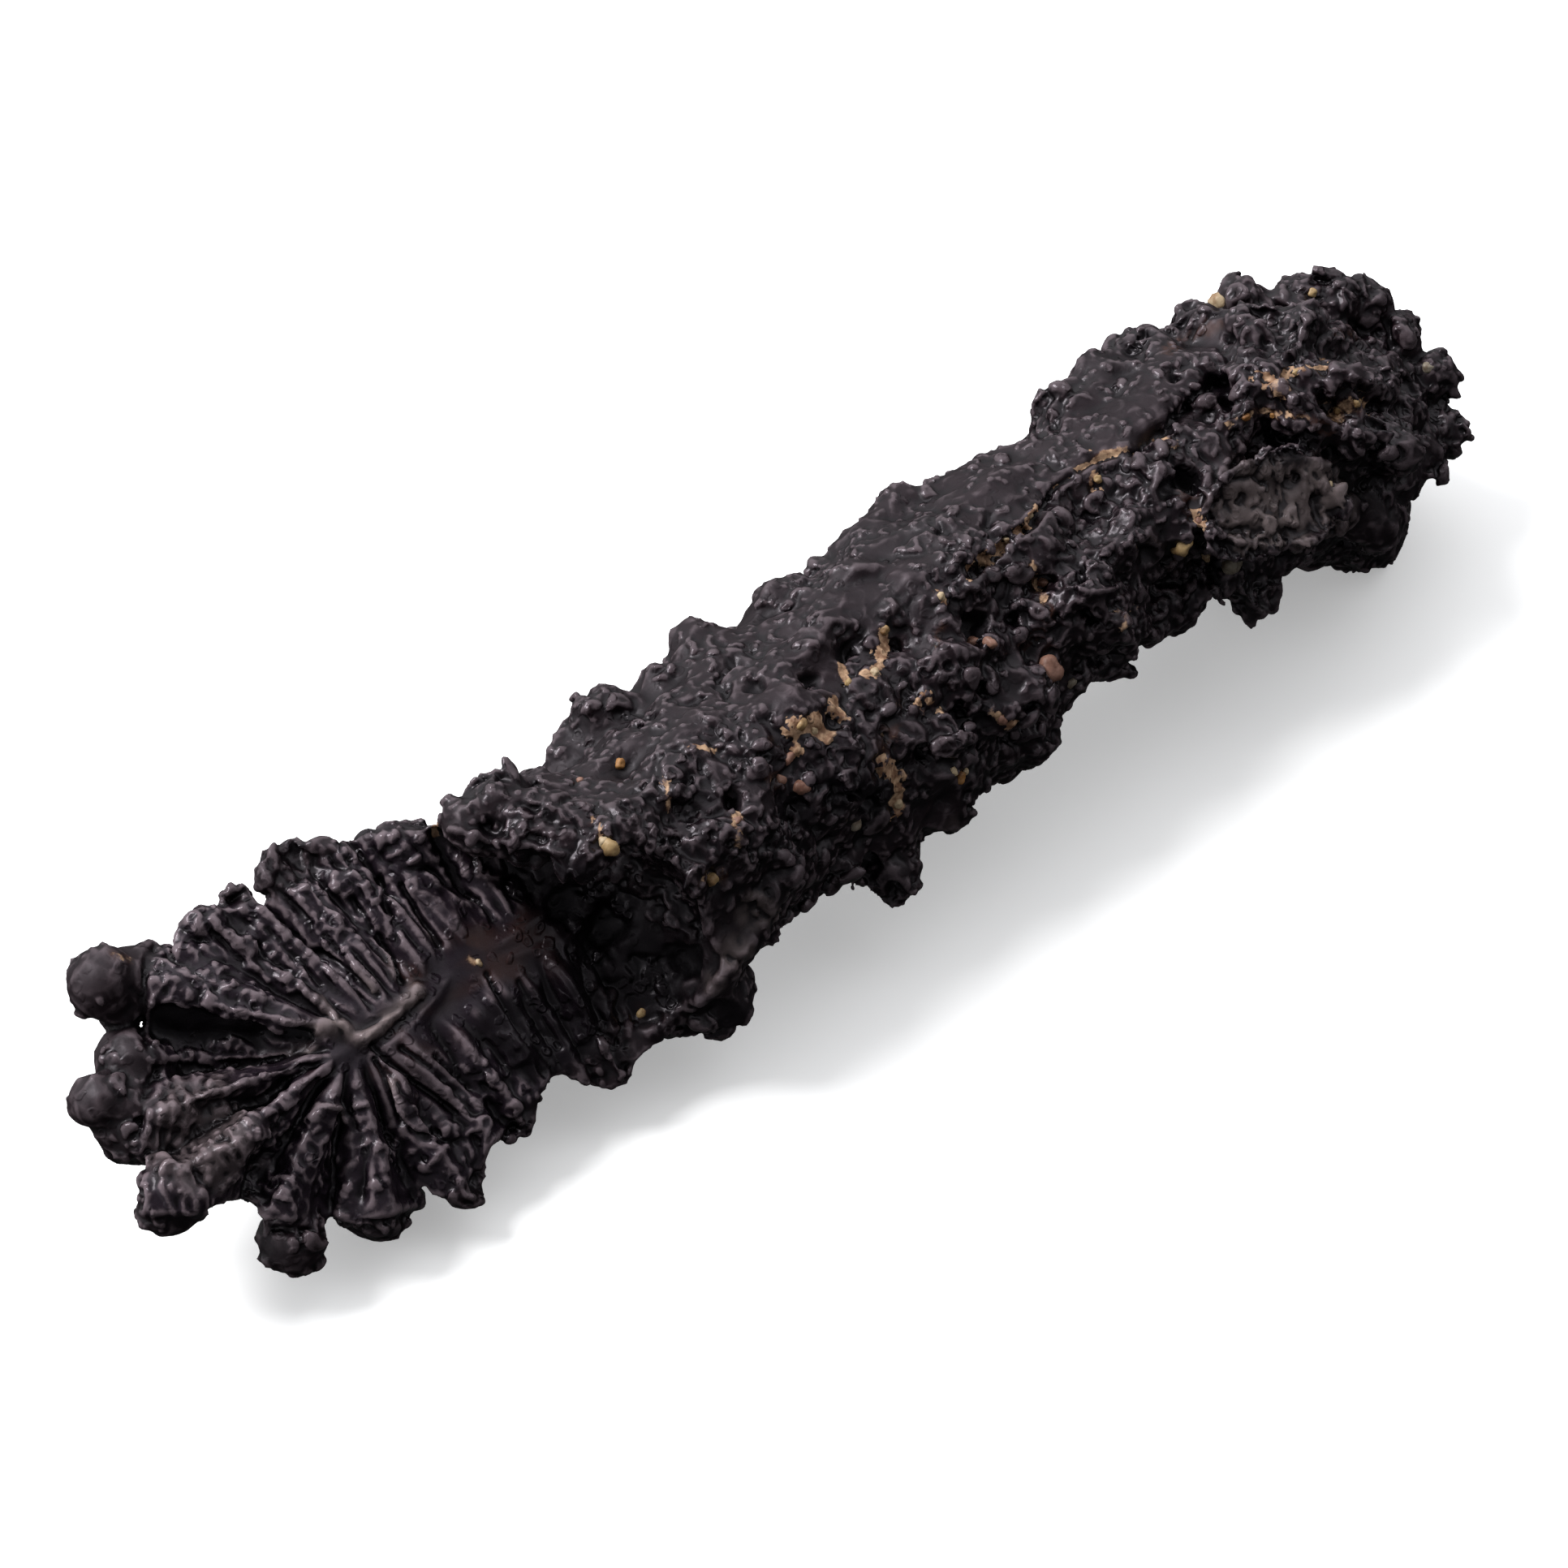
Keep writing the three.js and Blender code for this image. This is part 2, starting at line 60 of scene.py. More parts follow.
WINDOW_AT = (-0.35, 0.42, 0.72)  # metres
WINDOW_SIZE = 0.4
WINDOW_POWER = 8.6  # watts

PX_PER_MM = 37  # in that frame, at the stone
VOXEL = 0.1  # of the dense skin
FUSED_VOXEL = 0.07  # of the skin once the crystals have grown together with it
SKIN_TRIANGLES = 760000
PIECE_TRIANGLES = 192000  # at most, in each length of the skin
LUMP_HEIGHT = 0.26  # of the soft lumps of the skin
CRYSTAL_HEIGHT = 0.24
WORM_HEIGHT = 0.10
CRUST_SINK = 0.16  # the net lies this much lower where crystals grow on it
PIT_DEPTH = 0.30
TROUGH_DEPTH = 0.35
WORM_SIDES = 8  # of the net round each worm-like ridge
CUT_SLACK = 0.002  # a point this near to a cut lies on it
CUT_REACH = 1.0  # faces this near to a cut are tried for it
RIM_SLACK = 0.01  # an open edge this near to a cut is closed by its cap
WORM_RINGS = 12  # of that net, along the ridge
WORM_KINDS = 24
WORM_DROP = 0.6  # at most, to reach the skin
WORM_LIFT = 0.3
BLOCK_KINDS = 30
FACETS = 9  # of a blocky crystal
ROOT_DEPTH = 0.07  # how far a crystal sits in the skin, in its sizes
CREST_FULL = 0.035  # a point this far over the points round it is the crest of an edge
HEIGHT_FULL = 0.12  # and this far over the skin round it, the top of a crystal
CRYSTAL_SEED = 17
GRAIN_SEED = 5
GRAIN_SINK = 0.35  # how far a grain sits in the skin, in its radii

# What the camera sees of the stone, each place in pixels of its frame. Widths and radii are in
# pixels too, heights and depths in millimetres.
# Each patch is [across, down, radius]. Smooth patches of varnish:
SMOOTH_PATCHES = [
    (985, 822, 62), (930, 850, 34), (1095, 695, 52), (1055, 730, 26), (1385, 495, 58),
    (1335, 520, 30), (1190, 612, 42), (1245, 590, 34), (1440, 590, 22), (690, 962, 32),
    (1600, 632, 20), (1545, 600, 12), (870, 815, 24), (1345, 735, 18),
    (1125, 905, 24), (560, 1010, 26), (850, 1195, 36), (890, 1160, 26), (905, 1215, 24),
    (1165, 990, 26), (1500, 560, 22), (1545, 420, 14), (1680, 455, 16), (750, 985, 14),
]
# Smooth black knobs, where nothing grows:
POLISHED = [
    (1160, 1000, 34), (1545, 772, 26), (1685, 640, 34), (1715, 665, 30), (120, 1200, 30),
    (1165, 975, 26), (800, 1290, 30), (905, 1150, 38), (882, 1212, 40), (905, 1248, 30),
    (1105, 1085, 24), (322, 1085, 18), (470, 1480, 26), (1735, 560, 22),
]
# Skin painted near black, a painted shade where the stone lies in shadow, as in the cavern under the
# shelf:
SHADES = [(690, 1105, 62), (745, 1140, 60), (640, 1080, 30), (700, 1250, 60), (660, 1290, 50),
          (800, 1210, 44), (620, 1260, 36), (1590, 551, 26), (840, 1182, 30), (770, 1180, 56),
          (905, 1255, 26), (1075, 985, 30), (985, 1000, 24)]
# Paler skin, with how much paler. On the ledge and the fan's lobe it is painted light, where their
# tops catch the light:
LIGHT_PATCHES = [
    (1560, 622, 62, 0.54), (1625, 610, 45, 0.48), (250, 1400, 75, 0.2), (1180, 1035, 30, 0.1),
    (932, 1122, 26, 0.3), (902, 1176, 24, 0.3), (880, 1208, 16, 0.2),
]
# Hollows, with their depth; each is also painted dark, a painted shade:
HOLLOWS = [
    (843, 1184, 22, 0.5), (1102, 1098, 10, 0.4), (700, 1112, 34, 0.5), (748, 1145, 30, 0.5),
    (1205, 767, 17, 0.8), (1045, 800, 19, 0.6), (997, 838, 14, 0.5), (1030, 982, 24, 0.5),
    (1185, 885, 15, 0.6), (1335, 705, 11, 0.5), (1590, 551, 15, 0.9), (1568, 546, 11, 0.7),
    (1608, 548, 10, 0.6), (1498, 468, 13, 0.7), (1512, 490, 14, 0.8), (1524, 505, 10, 0.6),
    (1586, 441, 12, 0.5), (1602, 436, 10, 0.5), (1468, 588, 15, 0.7), (1440, 602, 13, 0.6),
    (930, 842, 12, 0.3), (1120, 850, 10, 0.4), (985, 1000, 14, 0.5), (1060, 985, 16, 0.5),
    (1250, 760, 10, 0.4), (1345, 765, 12, 0.5), (1410, 640, 12, 0.5), (1420, 685, 10, 0.4),
    (1060, 905, 9, 0.4), (1075, 880, 8, 0.3), (1140, 930, 12, 0.4), (1215, 850, 10, 0.4),
    (1270, 880, 12, 0.4), (1305, 760, 9, 0.4), (1205, 925, 9, 0.4), (1170, 820, 8, 0.3),
    (905, 985, 11, 0.4), (850, 960, 9, 0.3), (800, 985, 9, 0.3), (880, 1030, 10, 0.4),
    (1650, 470, 9, 0.4), (1700, 500, 11, 0.4), (1640, 560, 9, 0.4), (1720, 560, 10, 0.4),
    (1560, 420, 8, 0.3), (1735, 470, 9, 0.4), (1515, 415, 9, 0.4), (1450, 460, 9, 0.4),
]
# Grooves of the skin and the fan: (width, depth, the points they run through).
GROOVES = [
    (5, 0.35, [(317, 1181), (357, 1217), (401, 1252)]),
    (5, 0.3, [(348, 1100), (384, 1136), (419, 1172), (437, 1203)]),
    (5, 0.3, [(392, 1172), (428, 1194), (464, 1225)]),
    (5, 0.35, [(433, 1109), (450, 1136), (482, 1181), (495, 1208)]),
    (4, 0.3, [(468, 1083), (482, 1127), (488, 1159)]),
    (5, 0.35, [(495, 1092), (517, 1132), (540, 1163)]),
    (5, 0.3, [(517, 1065), (562, 1096), (589, 1109)]),
    (20, 0.5, [(195, 1262), (250, 1270)]),
    (13, 0.45, [(250, 1268), (320, 1274)]),
    (7, 0.3, [(320, 1272), (390, 1276)]),
    (4, 0.2, [(227, 1319), (330, 1313), (388, 1313)]),
    (9, 0.3, [(250, 1364), (321, 1359), (348, 1337)]),
    (10, 0.35, [(300, 1490), (321, 1422), (343, 1382), (366, 1359), (392, 1333)]),
    (8, 0.25, [(437, 1350), (450, 1426), (446, 1471)]),
    (4, 0.35, [(463, 1305), (480, 1340), (494, 1380), (526, 1402), (562, 1408)]),
    (4, 0.3, [(476, 1318), (512, 1366), (545, 1402)]),
    (4, 0.3, [(459, 1288), (482, 1310), (508, 1333), (562, 1373)]),
    (4, 0.25, [(495, 1292), (531, 1315), (571, 1350), (584, 1373)]),
    (3, 0.2, [(535, 1301), (580, 1342)]),
    (4, 0.2, [(640, 1210), (690, 1290)]),
    (4, 0.2, [(700, 1170), (745, 1262)]),
    (5, 0.25, [(716, 1153), (735, 1185), (752, 1218)]),
    (3, 0.2, [(600, 1200), (650, 1290)]),
    (3, 0.2, [(330, 1145), (350, 1165), (395, 1215)]),
    (4, 0.25, [(245, 1110), (262, 1150), (300, 1185)]),
    (5, 0.3, [(205, 1175), (240, 1200), (262, 1225)]),
    (5, 0.45, [(1197, 708), (1240, 668), (1275, 636), (1300, 600), (1345, 565), (1400, 548)]),
    (7, 0.5, [(1400, 548), (1440, 520), (1478, 492), (1500, 452)]),
    (4, 0.3, [(1482, 560), (1500, 575), (1492, 620), (1500, 650)]),
    (3, 0.2, [(1512, 592), (1545, 588), (1562, 600)]),
]
# The smooth black trough of the fan.
TROUGH = [(26, 1, [(206, 1260), (240, 1266)]), (18, 1, [(240, 1267), (310, 1274)]),
          (9, 1, [(310, 1273), (380, 1277)])]
# Ridges of the skin and the fan, likewise: (width, height, points).
RIDGES = [
    (5, 0.22, [(352, 1258), (385, 1269)]),
    (9, 0.26, [(388, 1270), (404, 1266), (422, 1266), (438, 1276), (447, 1279)]),
    (9, 0.26, [(447, 1279), (464, 1268), (482, 1250), (500, 1236), (513, 1221)]),
    (4, 0.22, [(254, 1234), (294, 1243), (348, 1257), (392, 1270)]),
    (4, 0.2, [(330, 1180), (365, 1214), (412, 1256)]),
    (4, 0.22, [(194, 1306), (303, 1299), (388, 1290)]),
    (4, 0.22, [(188, 1235), (182, 1262), (191, 1292), (201, 1308)]),
    (10, 0.2, [(300, 1335), (336, 1338)]),
    (7, 0.2, [(321, 1395), (267, 1422), (230, 1440)]),
    (4, 0.2, [(388, 1382), (398, 1366), (414, 1364), (430, 1380)]),
    (5, 0.25, [(482, 1333), (500, 1370), (515, 1392)]),
    (4, 0.2, [(425, 1180), (450, 1208), (462, 1222)]),
    (4, 0.2, [(500, 1110), (520, 1145), (536, 1160)]),
    (4, 0.18, [(440, 1130), (468, 1172), (484, 1204)]),
    (4, 0.25, [(1295, 702), (1315, 720), (1340, 732), (1370, 727)]),
    (4, 0.2, [(1300, 690), (1330, 684), (1362, 700), (1378, 722)]),
    (6, 0.25, [(1330, 835), (1375, 815), (1398, 795)]),
    (5, 0.3, [(1488, 655), (1520, 664), (1558, 672), (1600, 668), (1640, 655), (1668, 635)]),
    (5, 0.3, [(560, 1022), (600, 1034), (655, 1040), (690, 1052)]),
    (8, 0.28, [(955, 1095), (935, 1140), (905, 1185), (868, 1228), (800, 1272)]),
    (4, 0.2, [(1075, 830), (1100, 850), (1130, 838)]),
    (4, 0.2, [(1180, 730), (1200, 722), (1222, 735)]),
    (4, 0.2, [(1160, 880), (1175, 905), (1200, 915)]),
]
# Tan crusts in the crevices: (width, how brown from 0 to 1, points).
CRUSTS = [
    (7, 0.2, [(1090, 780), (1087, 812), (1078, 828)]),
    (6, 0.3, [(1037, 817), (1045, 840)]),
    (5, 0.0, [(1030, 858), (1040, 882)]),
    (10, 0.2, [(982, 890), (1002, 893), (1020, 905)]),
    (10, 0.7, [(1100, 898), (1096, 918)]),
    (8, 0.1, [(1094, 938), (1104, 955), (1106, 992)]),
    (8, 0.7, [(948, 957), (965, 962)]),
    (5, 0.3, [(1145, 864), (1158, 875)]),
    (5, 0.6, [(1162, 770), (1152, 792)]),
    (4, 0.1, [(1195, 714), (1206, 690), (1222, 676), (1242, 664), (1268, 638), (1280, 616)]),
    (4, 0.4, [(1300, 596), (1345, 562), (1380, 549), (1403, 545)]),
    (6, 0.3, [(1156, 730), (1164, 742)]),
    (7, 0.3, [(1432, 533), (1446, 543)]),
    (6, 0.2, [(1348, 582), (1352, 604)]),
    (13, 0.95, [(1462, 600), (1470, 616)]),
    (6, 0.3, [(1474, 628), (1480, 648)]),
    (6, 0.8, [(1446, 690), (1450, 700)]),
    (6, 0.2, [(1547, 455), (1574, 465), (1597, 457), (1633, 446)]),
    (5, 0.5, [(1560, 462), (1578, 474), (1585, 490)]),
    (6, 0.5, [(1515, 523), (1533, 515), (1568, 512), (1612, 514)]),
    (9, 0.8, [(1624, 520), (1636, 530)]),
    (10, 0.5, [(1646, 508), (1668, 500), (1686, 502)]),
    (5, 0.7, [(1652, 410), (1668, 412)]),
    (7, 0.8, [(1440, 430), (1500, 400)]),
    (5, 0.4, [(737, 1012), (742, 1028)]),
    (4, 0.2, [(534, 1014), (537, 1030)]),
    (6, 0.6, [(140, 1176), (156, 1180)]),
    (6, 0.4, [(574, 1184), (588, 1188)]),
    (6, 0.8, [(576, 1156), (586, 1160)]),
    (6, 0.7, [(296, 1502), (308, 1498)]),
    (8, 0.6, [(868, 1084), (888, 1082)]),
    (4, 0.3, [(852, 916), (880, 920)]),
    (5, 0.7, [(788, 1240), (794, 1254)]),
    (6, 0.5, [(907, 1004), (912, 1034)]),
    (4, 0.5, [(820, 952), (827, 1000)]),
    (5, 0.5, [(1272, 696), (1284, 732)]),
    (6, 0.2, [(1228, 882), (1244, 892)]),
    (4, 0.2, [(980, 905), (986, 925)]),
    (5, 0.8, [(1290, 742), (1296, 756)]),
    (5, 0.6, [(1385, 760), (1400, 748)]),
]
# Sand grains: [across, down, radius, kind], and the kinds' colours.
GRAINS = [
    (752, 1047, 11, "yellow"), (744, 1037, 8, "cream"), (1182, 957, 10, "orange"),
    (1176, 950, 6, "cream"), (1190, 950, 5, "cream"), (1291, 821, 16, "peach"),
    (1320, 842, 7, "grey"), (1198, 792, 9, "peach"), (1222, 791, 8, "peach"),
    (972, 935, 8, "peach"), (987, 970, 10, "peach"), (962, 960, 7, "peach"),
    (1235, 888, 8, "peach"), (1457, 673, 13, "yellow"), (1485, 685, 9, "cream"),
    (1518, 698, 11, "grey"), (1476, 642, 6, "peach"), (1500, 371, 11, "cream"),
    (1617, 361, 7, "yellow"), (1756, 433, 8, "yellow"), (1759, 453, 7, "grey"),
    (1054, 1015, 8, "grey"), (765, 941, 7, "orange"), (714, 961, 5, "peach"),
    (908, 1010, 7, "peach"), (1283, 717, 7, "peach"), (1090, 778, 6, "yellow"),
    (1045, 840, 5, "yellow"), (990, 893, 8, "yellow"), (1004, 900, 5, "cream"),
    (1640, 596, 4, "cream"), (1160, 735, 6, "cream"), (1352, 590, 5, "yellow"),
    (1240, 664, 5, "cream"), (1270, 636, 5, "cream"), (590, 1186, 5, "cream"),
    (1078, 828, 6, "cream"), (1107, 990, 6, "cream"), (877, 1084, 8, "yellow"),
    (1568, 512, 5, "orange"), (1535, 514, 6, "orange"), (1596, 458, 5, "yellow"),
    (1648, 506, 7, "yellow"), (1672, 498, 6, "yellow"), (302, 1500, 5, "orange"),
    (790, 1248, 6, "yellow"),
]
GRAIN_TINTS = {
    "cream": (0.42, 0.32, 0.20), "yellow": (0.33, 0.22, 0.10), "grey": (0.20, 0.17, 0.13),
    "orange": (0.30, 0.14, 0.04), "peach": (0.21, 0.105, 0.075),
}
# Knobs behind the fan, round ones: [x, y, z of the centre, radius] in the stone's own frame, mm.
ROUND_KNOBS = [
    (-25.6, 6.0, -1.3, 1.35), (-24.4, 5.5, -1.8, 1.4), (-28.0, 3.0, -1.2, 1.15),
    (-27.2, 1.9, -1.6, 1.4), (-26.2, 3.5, -1.7, 1.2), (-28.0, -0.5, -0.9, 1.25),
    (-24.9, -3.9, -1.7, 1.15), (-18.4, 5.9, -0.8, 1.4), (-20.8, 6.0, -0.8, 1.0),
]
# The rim of the fan, outside which the broken face ends.
FAN_RIM = [
    (535, 1022), (477, 1018), (419, 1038), (366, 1087), (312, 1112), (270, 1112), (232, 1118),
    (209, 1150), (192, 1172), (178, 1200), (180, 1266), (189, 1292), (200, 1312), (187, 1337),
    (169, 1408), (154, 1444), (151, 1475), (170, 1502), (267, 1502), (330, 1511), (419, 1516),
    (526, 1493), (567, 1471), (611, 1417), (638, 1382), (705, 1310), (735, 1283), (722, 1200),
    (705, 1136), (650, 1110), (607, 1092), (571, 1050),
]


# ---------------------------------------------------------------- frames and camera
def to_own(points):
    """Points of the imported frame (mm) in the stone's own frame."""
    p = points + SHIFT - [0, 0, AXIS_HEIGHT]
    c, s = math.cos(FACE_LEAN), math.sin(FACE_LEAN)
    return np.stack([p[:, 0], p[:, 1] * c + p[:, 2] * s, -p[:, 1] * s + p[:, 2] * c], 1)


def turned_to_own(vectors):
    """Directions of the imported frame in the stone's own frame."""
    c, s = math.cos(FACE_LEAN), math.sin(FACE_LEAN)
    y, z = vectors[:, 1], vectors[:, 2]
    return np.stack([vectors[:, 0], y * c + z * s, -y * s + z * c], 1)


def from_own(points):
    """Points of the stone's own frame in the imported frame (mm)."""
    c, s = math.cos(FACE_LEAN), math.sin(FACE_LEAN)
    y, z = points[:, 1], points[:, 2]
    p = np.stack([points[:, 0], y * c - z * s, y * s + z * c], 1)
    return p - SHIFT + [0, 0, AXIS_HEIGHT]


camera_back = np.array([
    math.sin(CAMERA_AZIMUTH) * math.cos(CAMERA_RISE),
    -math.cos(CAMERA_AZIMUTH) * math.cos(CAMERA_RISE),
    math.sin(CAMERA_RISE),
])
camera_right = np.array([math.cos(CAMERA_AZIMUTH), math.sin(CAMERA_AZIMUTH), 0.0])
camera_up = np.cross(camera_back, camera_right)
camera_at = CAMERA_AT - SHIFT


def linked(name, data):
    """A new object of the scene, made of the data."""
    made = bpy.data.objects.new(name, data)
    bpy.context.collection.objects.link(made)
    return made


def add_camera():
    data = bpy.data.cameras.new("camera")
    data.sensor_width = SENSOR
    data.lens = SENSOR * FOCAL_PX / FRAME_PX
    data.clip_start = 0.01
    data.clip_end = 20
    camera = linked("camera", data)
    turn = Matrix([camera_right, camera_up, camera_back]).transposed().to_4x4()
    camera.matrix_world = Matrix.Translation(Vector(camera_at / 1000)) @ turn
    bpy.context.scene.camera = camera


def seen_at(points):
    """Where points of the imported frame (mm) appear in the camera's frame, in its pixels."""
    gap = points - camera_at
    depth = -(gap @ camera_back)
    across = FRAME_PX / 2 + FOCAL_PX * (gap @ camera_right) / depth
    down = FRAME_PX / 2 - FOCAL_PX * (gap @ camera_up) / depth
    return np.stack([across, down], 1)


def ray_through(px, py):
    half = FRAME_PX / 2
    ray = camera_right * (px - half) + camera_up * (half - py) - camera_back * FOCAL_PX
    return ray / np.linalg.norm(ray)


def to_line(pixels, line):
    """Distance in pixels from each place to a line through the given points."""
    nearest = np.full(len(pixels), 1e9)
    for start, end in zip(line[:-1], line[1:]):
        start, run = np.array(start, float), np.subtract(end, start).astype(float)
        share = np.clip(((pixels - start) @ run) / (run @ run), 0, 1)
        gap = pixels - start - share[:, None] * run
        nearest = np.minimum(nearest, np.hypot(gap[:, 0], gap[:, 1]))
    return nearest


def spotted(pixels, spots, full, gone, *uneven):
    """How much of the strongest spot lies on each place. Each is [across, down, radius, strength].

    It has its full strength out to that many radii, and none beyond gone; uneven moves its edge."""
    cover = np.zeros(len(pixels))
    for across, down, radius, *strength in spots:
        gap = np.hypot(pixels[:, 0] - across, pixels[:, 1] - down) / radius
        for shift in uneven:
            gap = gap + shift
        here = 1 - smoothstep(gap, full, gone)
        cover = np.maximum(cover, strength[0] * here if strength else here)
    return cover


def inside_rim(pixels, rim):
    """Distance in pixels to the closed rim: above 0 inside it, below 0 outside."""
    x, y = pixels.T
    inside = np.zeros(len(pixels), bool)
    for (x0, y0), (x1, y1) in zip(rim, rim[1:] + rim[:1]):
        crosses = (y0 > y) != (y1 > y)
        with np.errstate(divide="ignore", invalid="ignore"):
            inside ^= crosses & (x < (x1 - x0) * (y - y0) / (y1 - y0) + x0)
    gap = to_line(pixels, rim + rim[:1])
    return np.where(inside, gap, -gap)


def drawn(pixels, strokes):
    """Sum of soft strokes, each (width, height, points), at the places."""
    total = np.zeros(len(pixels))
    for width, height, line in strokes:
        low, high = np.min(line, axis=0) - 3 * width, np.max(line, axis=0) + 3 * width
        near = np.all((pixels > low) & (pixels < high), axis=1).nonzero()[0]
        gap = to_line(pixels[near], line) / width
        total[near] = np.maximum(total[near], height * np.exp(-gap ** 2))
    return total


# ---------------------------------------------------------------- numbers and noise
def smoothstep(value, low, high):
    t = np.clip((value - low) / (high - low), 0, 1)
    return t * t * (3 - 2 * t)


def lerp(a, b, share):
    return a + (b - a) * share


def between(value, low, rising, falling, high):
    """1 from rising to falling, and 0 below low and above high."""
    return smoothstep(value, low, rising) * (1 - smoothstep(value, falling, high))


def highest(*fields):
    """The highest of the fields' values at each point."""
    return np.maximum.reduce(fields)


def unit(vectors):
    return vectors / np.linalg.norm(vectors, axis=-1, keepdims=True)


CORNERS = list(itertools.product((0, 1), repeat=3))
NEIGHBOURS = list(itertools.product((-1, 0, 1), repeat=3))


def noise(points, scale, seed):
    """Smooth noise from about -1 to 1, with features of the given size."""
    cells = 32  # along each side, before the noise repeats
    slopes = np.random.RandomState(seed).normal(size=(cells, cells, cells, 3))
    lattice = unit(slopes.astype(np.float32))
    scaled = points / scale
    cell = np.floor(scaled).astype(np.int64)
    inside = (scaled - cell).astype(np.float32)
    fade = inside ** 3 * (inside * (inside * 6 - 15) + 10)
    total = np.zeros(len(points), np.float32)
    for corner in CORNERS:
        at = (cell + corner) % cells
        slope = lattice[at[:, 0], at[:, 1], at[:, 2]]
        weight = np.prod(np.where(corner, fade, 1 - fade), axis=1)
        total += weight * ((inside - corner) * slope).sum(1)
    return 1.6 * total  # which brings it to about -1 and 1


def crystals(points, spacing, seed, fill, flat, tilt):
    """A crust of rounded crystals: its height in spacings, and a random tone from 0 to 1 for each.

    fill is the share of places with a crystal, flat how blocky it is, tilt how much it leans."""
    cells = 64
    lattice = np.random.RandomState(seed).rand(cells, cells, cells, 8).astype(np.float32)
    scaled = points / spacing
    cell = np.floor(scaled).astype(np.int64)
    height = np.zeros(len(points), np.float32)
    tone = np.zeros(len(points), np.float32)
    for step in NEIGHBOURS:
        corner = cell + step
        at = corner % cells
        draw = lattice[at[:, 0], at[:, 1], at[:, 2]]
        gap = (scaled - corner - 0.1 - 0.8 * draw[:, :3]).astype(np.float32)
        size = lerp(0.42, 0.8, draw[:, 3])
        distance = np.sqrt((gap * gap).sum(1)) / size
        cap = size * np.clip(1 - distance ** flat, 0, 1) ** (1 / flat)
        lean = 1 + tilt * (gap * (draw[:, 4:7] - 0.5)).sum(1) * 2
        cap = np.where(draw[:, 7] < fill, cap * lean, 0)
        higher = cap > height
        height = np.where(higher, cap, height)
        tone = np.where(higher, draw[:, 7] / fill, tone)
    return height, tone


# ---------------------------------------------------------------- meshes
def modified(mesh, **modifiers):
    """The mesh after Blender's modifiers, each given as its kind and its settings."""
    piece = linked("modified", mesh)
    for kind, settings in modifiers.items():
        modifier = piece.modifiers.new(kind, kind)
        for key, value in settings.items():
            setattr(modifier, key, value)
    evaluated = piece.evaluated_get(bpy.context.evaluated_depsgraph_get())
    result = bpy.data.meshes.new_from_object(evaluated)
    bpy.data.objects.remove(piece)
    return result


def squares(size):
    """The settings that draw a solid anew as an even net of squares of that size."""
    return {"mode": "VOXEL", "voxel_size": size, "adaptivity": 0}


def dense_skin(source):
    """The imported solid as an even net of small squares, in mm."""
    data = source.data.copy()
    data.transform(Matrix.Scale(1000, 4))
    return modified(data, WELD={"merge_threshold": 0.0005}, REMESH=squares(VOXEL))


def values_of(items, key, width, kind):
    """What a mesh keeps for each of its items, width numbers a row."""
    flat = np.empty(width * len(items), kind)
    items.foreach_get(key, flat)
    return flat.reshape(-1, width)


def coordinates(mesh):
    return values_of(mesh.vertices, "co", 3, float)


def normals(mesh):
    return values_of(mesh.vertex_normals, "vector", 3, np.float32).astype(float)


def put_coordinates(mesh, points):
    mesh.vertices.foreach_set("co", points.ravel())
    mesh.update()


def edge_ends(mesh):
    return values_of(mesh.edges, "vertices", 2, np.int64)


def triangle_corners(mesh):
    return values_of(mesh.loops, "vertex_index", 1, np.int32).reshape(-1, 3)


def mesh_of(name, points, triangles):
    mesh = bpy.data.meshes.new(name)
    mesh.vertices.add(len(points))
    mesh.vertices.foreach_set("co", points.astype(np.float32).ravel())
    mesh.loops.add(3 * len(triangles))
    mesh.loops.foreach_set("vertex_index", triangles.astype(np.int32).ravel())
    mesh.polygons.add(len(triangles))
    mesh.polygons.foreach_set("loop_start", np.arange(0, 3 * len(triangles), 3, dtype=np.int32))
    mesh.update(calc_edges=True)
    return mesh


def thinned(mesh, triangles):
    """The mesh in triangles, at most as many as that, fewest where it is flattest."""
    count = sum(len(p.vertices) - 2 for p in mesh.polygons)
    return modified(mesh, DECIMATE={"ratio": min(1.0, triangles / count)}, TRIANGULATE={})


def paint(mesh, name, columns):
    layer = mesh.attributes.new(name, "FLOAT_COLOR", "POINT")
    flat = np.ones((len(mesh.vertices), 4), np.float32)
    for k, column in enumerate(columns):
        flat[:, k] = column
    layer.data.foreach_set("color", flat.ravel())


def relaxed(values, ends, rounds, strengths=(0.5, -0.52)):
    """values evened out over the net. The second, negative strength keeps the volume."""
    count = len(values)
    both = np.concatenate([ends, ends[:, ::-1]])
    degree = np.bincount(both[:, 0], minlength=count)
    for _ in range(rounds):
        for strength in strengths:
            mean = np.stack([
                np.bincount(both[:, 0], weights=values[both[:, 1], k], minlength=count) / degree
                for k in range(values.shape[1])
            ], 1)
            values = values + strength * (mean - values)
    return values


def softened(values, ends, rounds):
    """values evened out over the net, which takes volume away too."""
    return relaxed(values, ends, rounds, strengths=(0.5,))


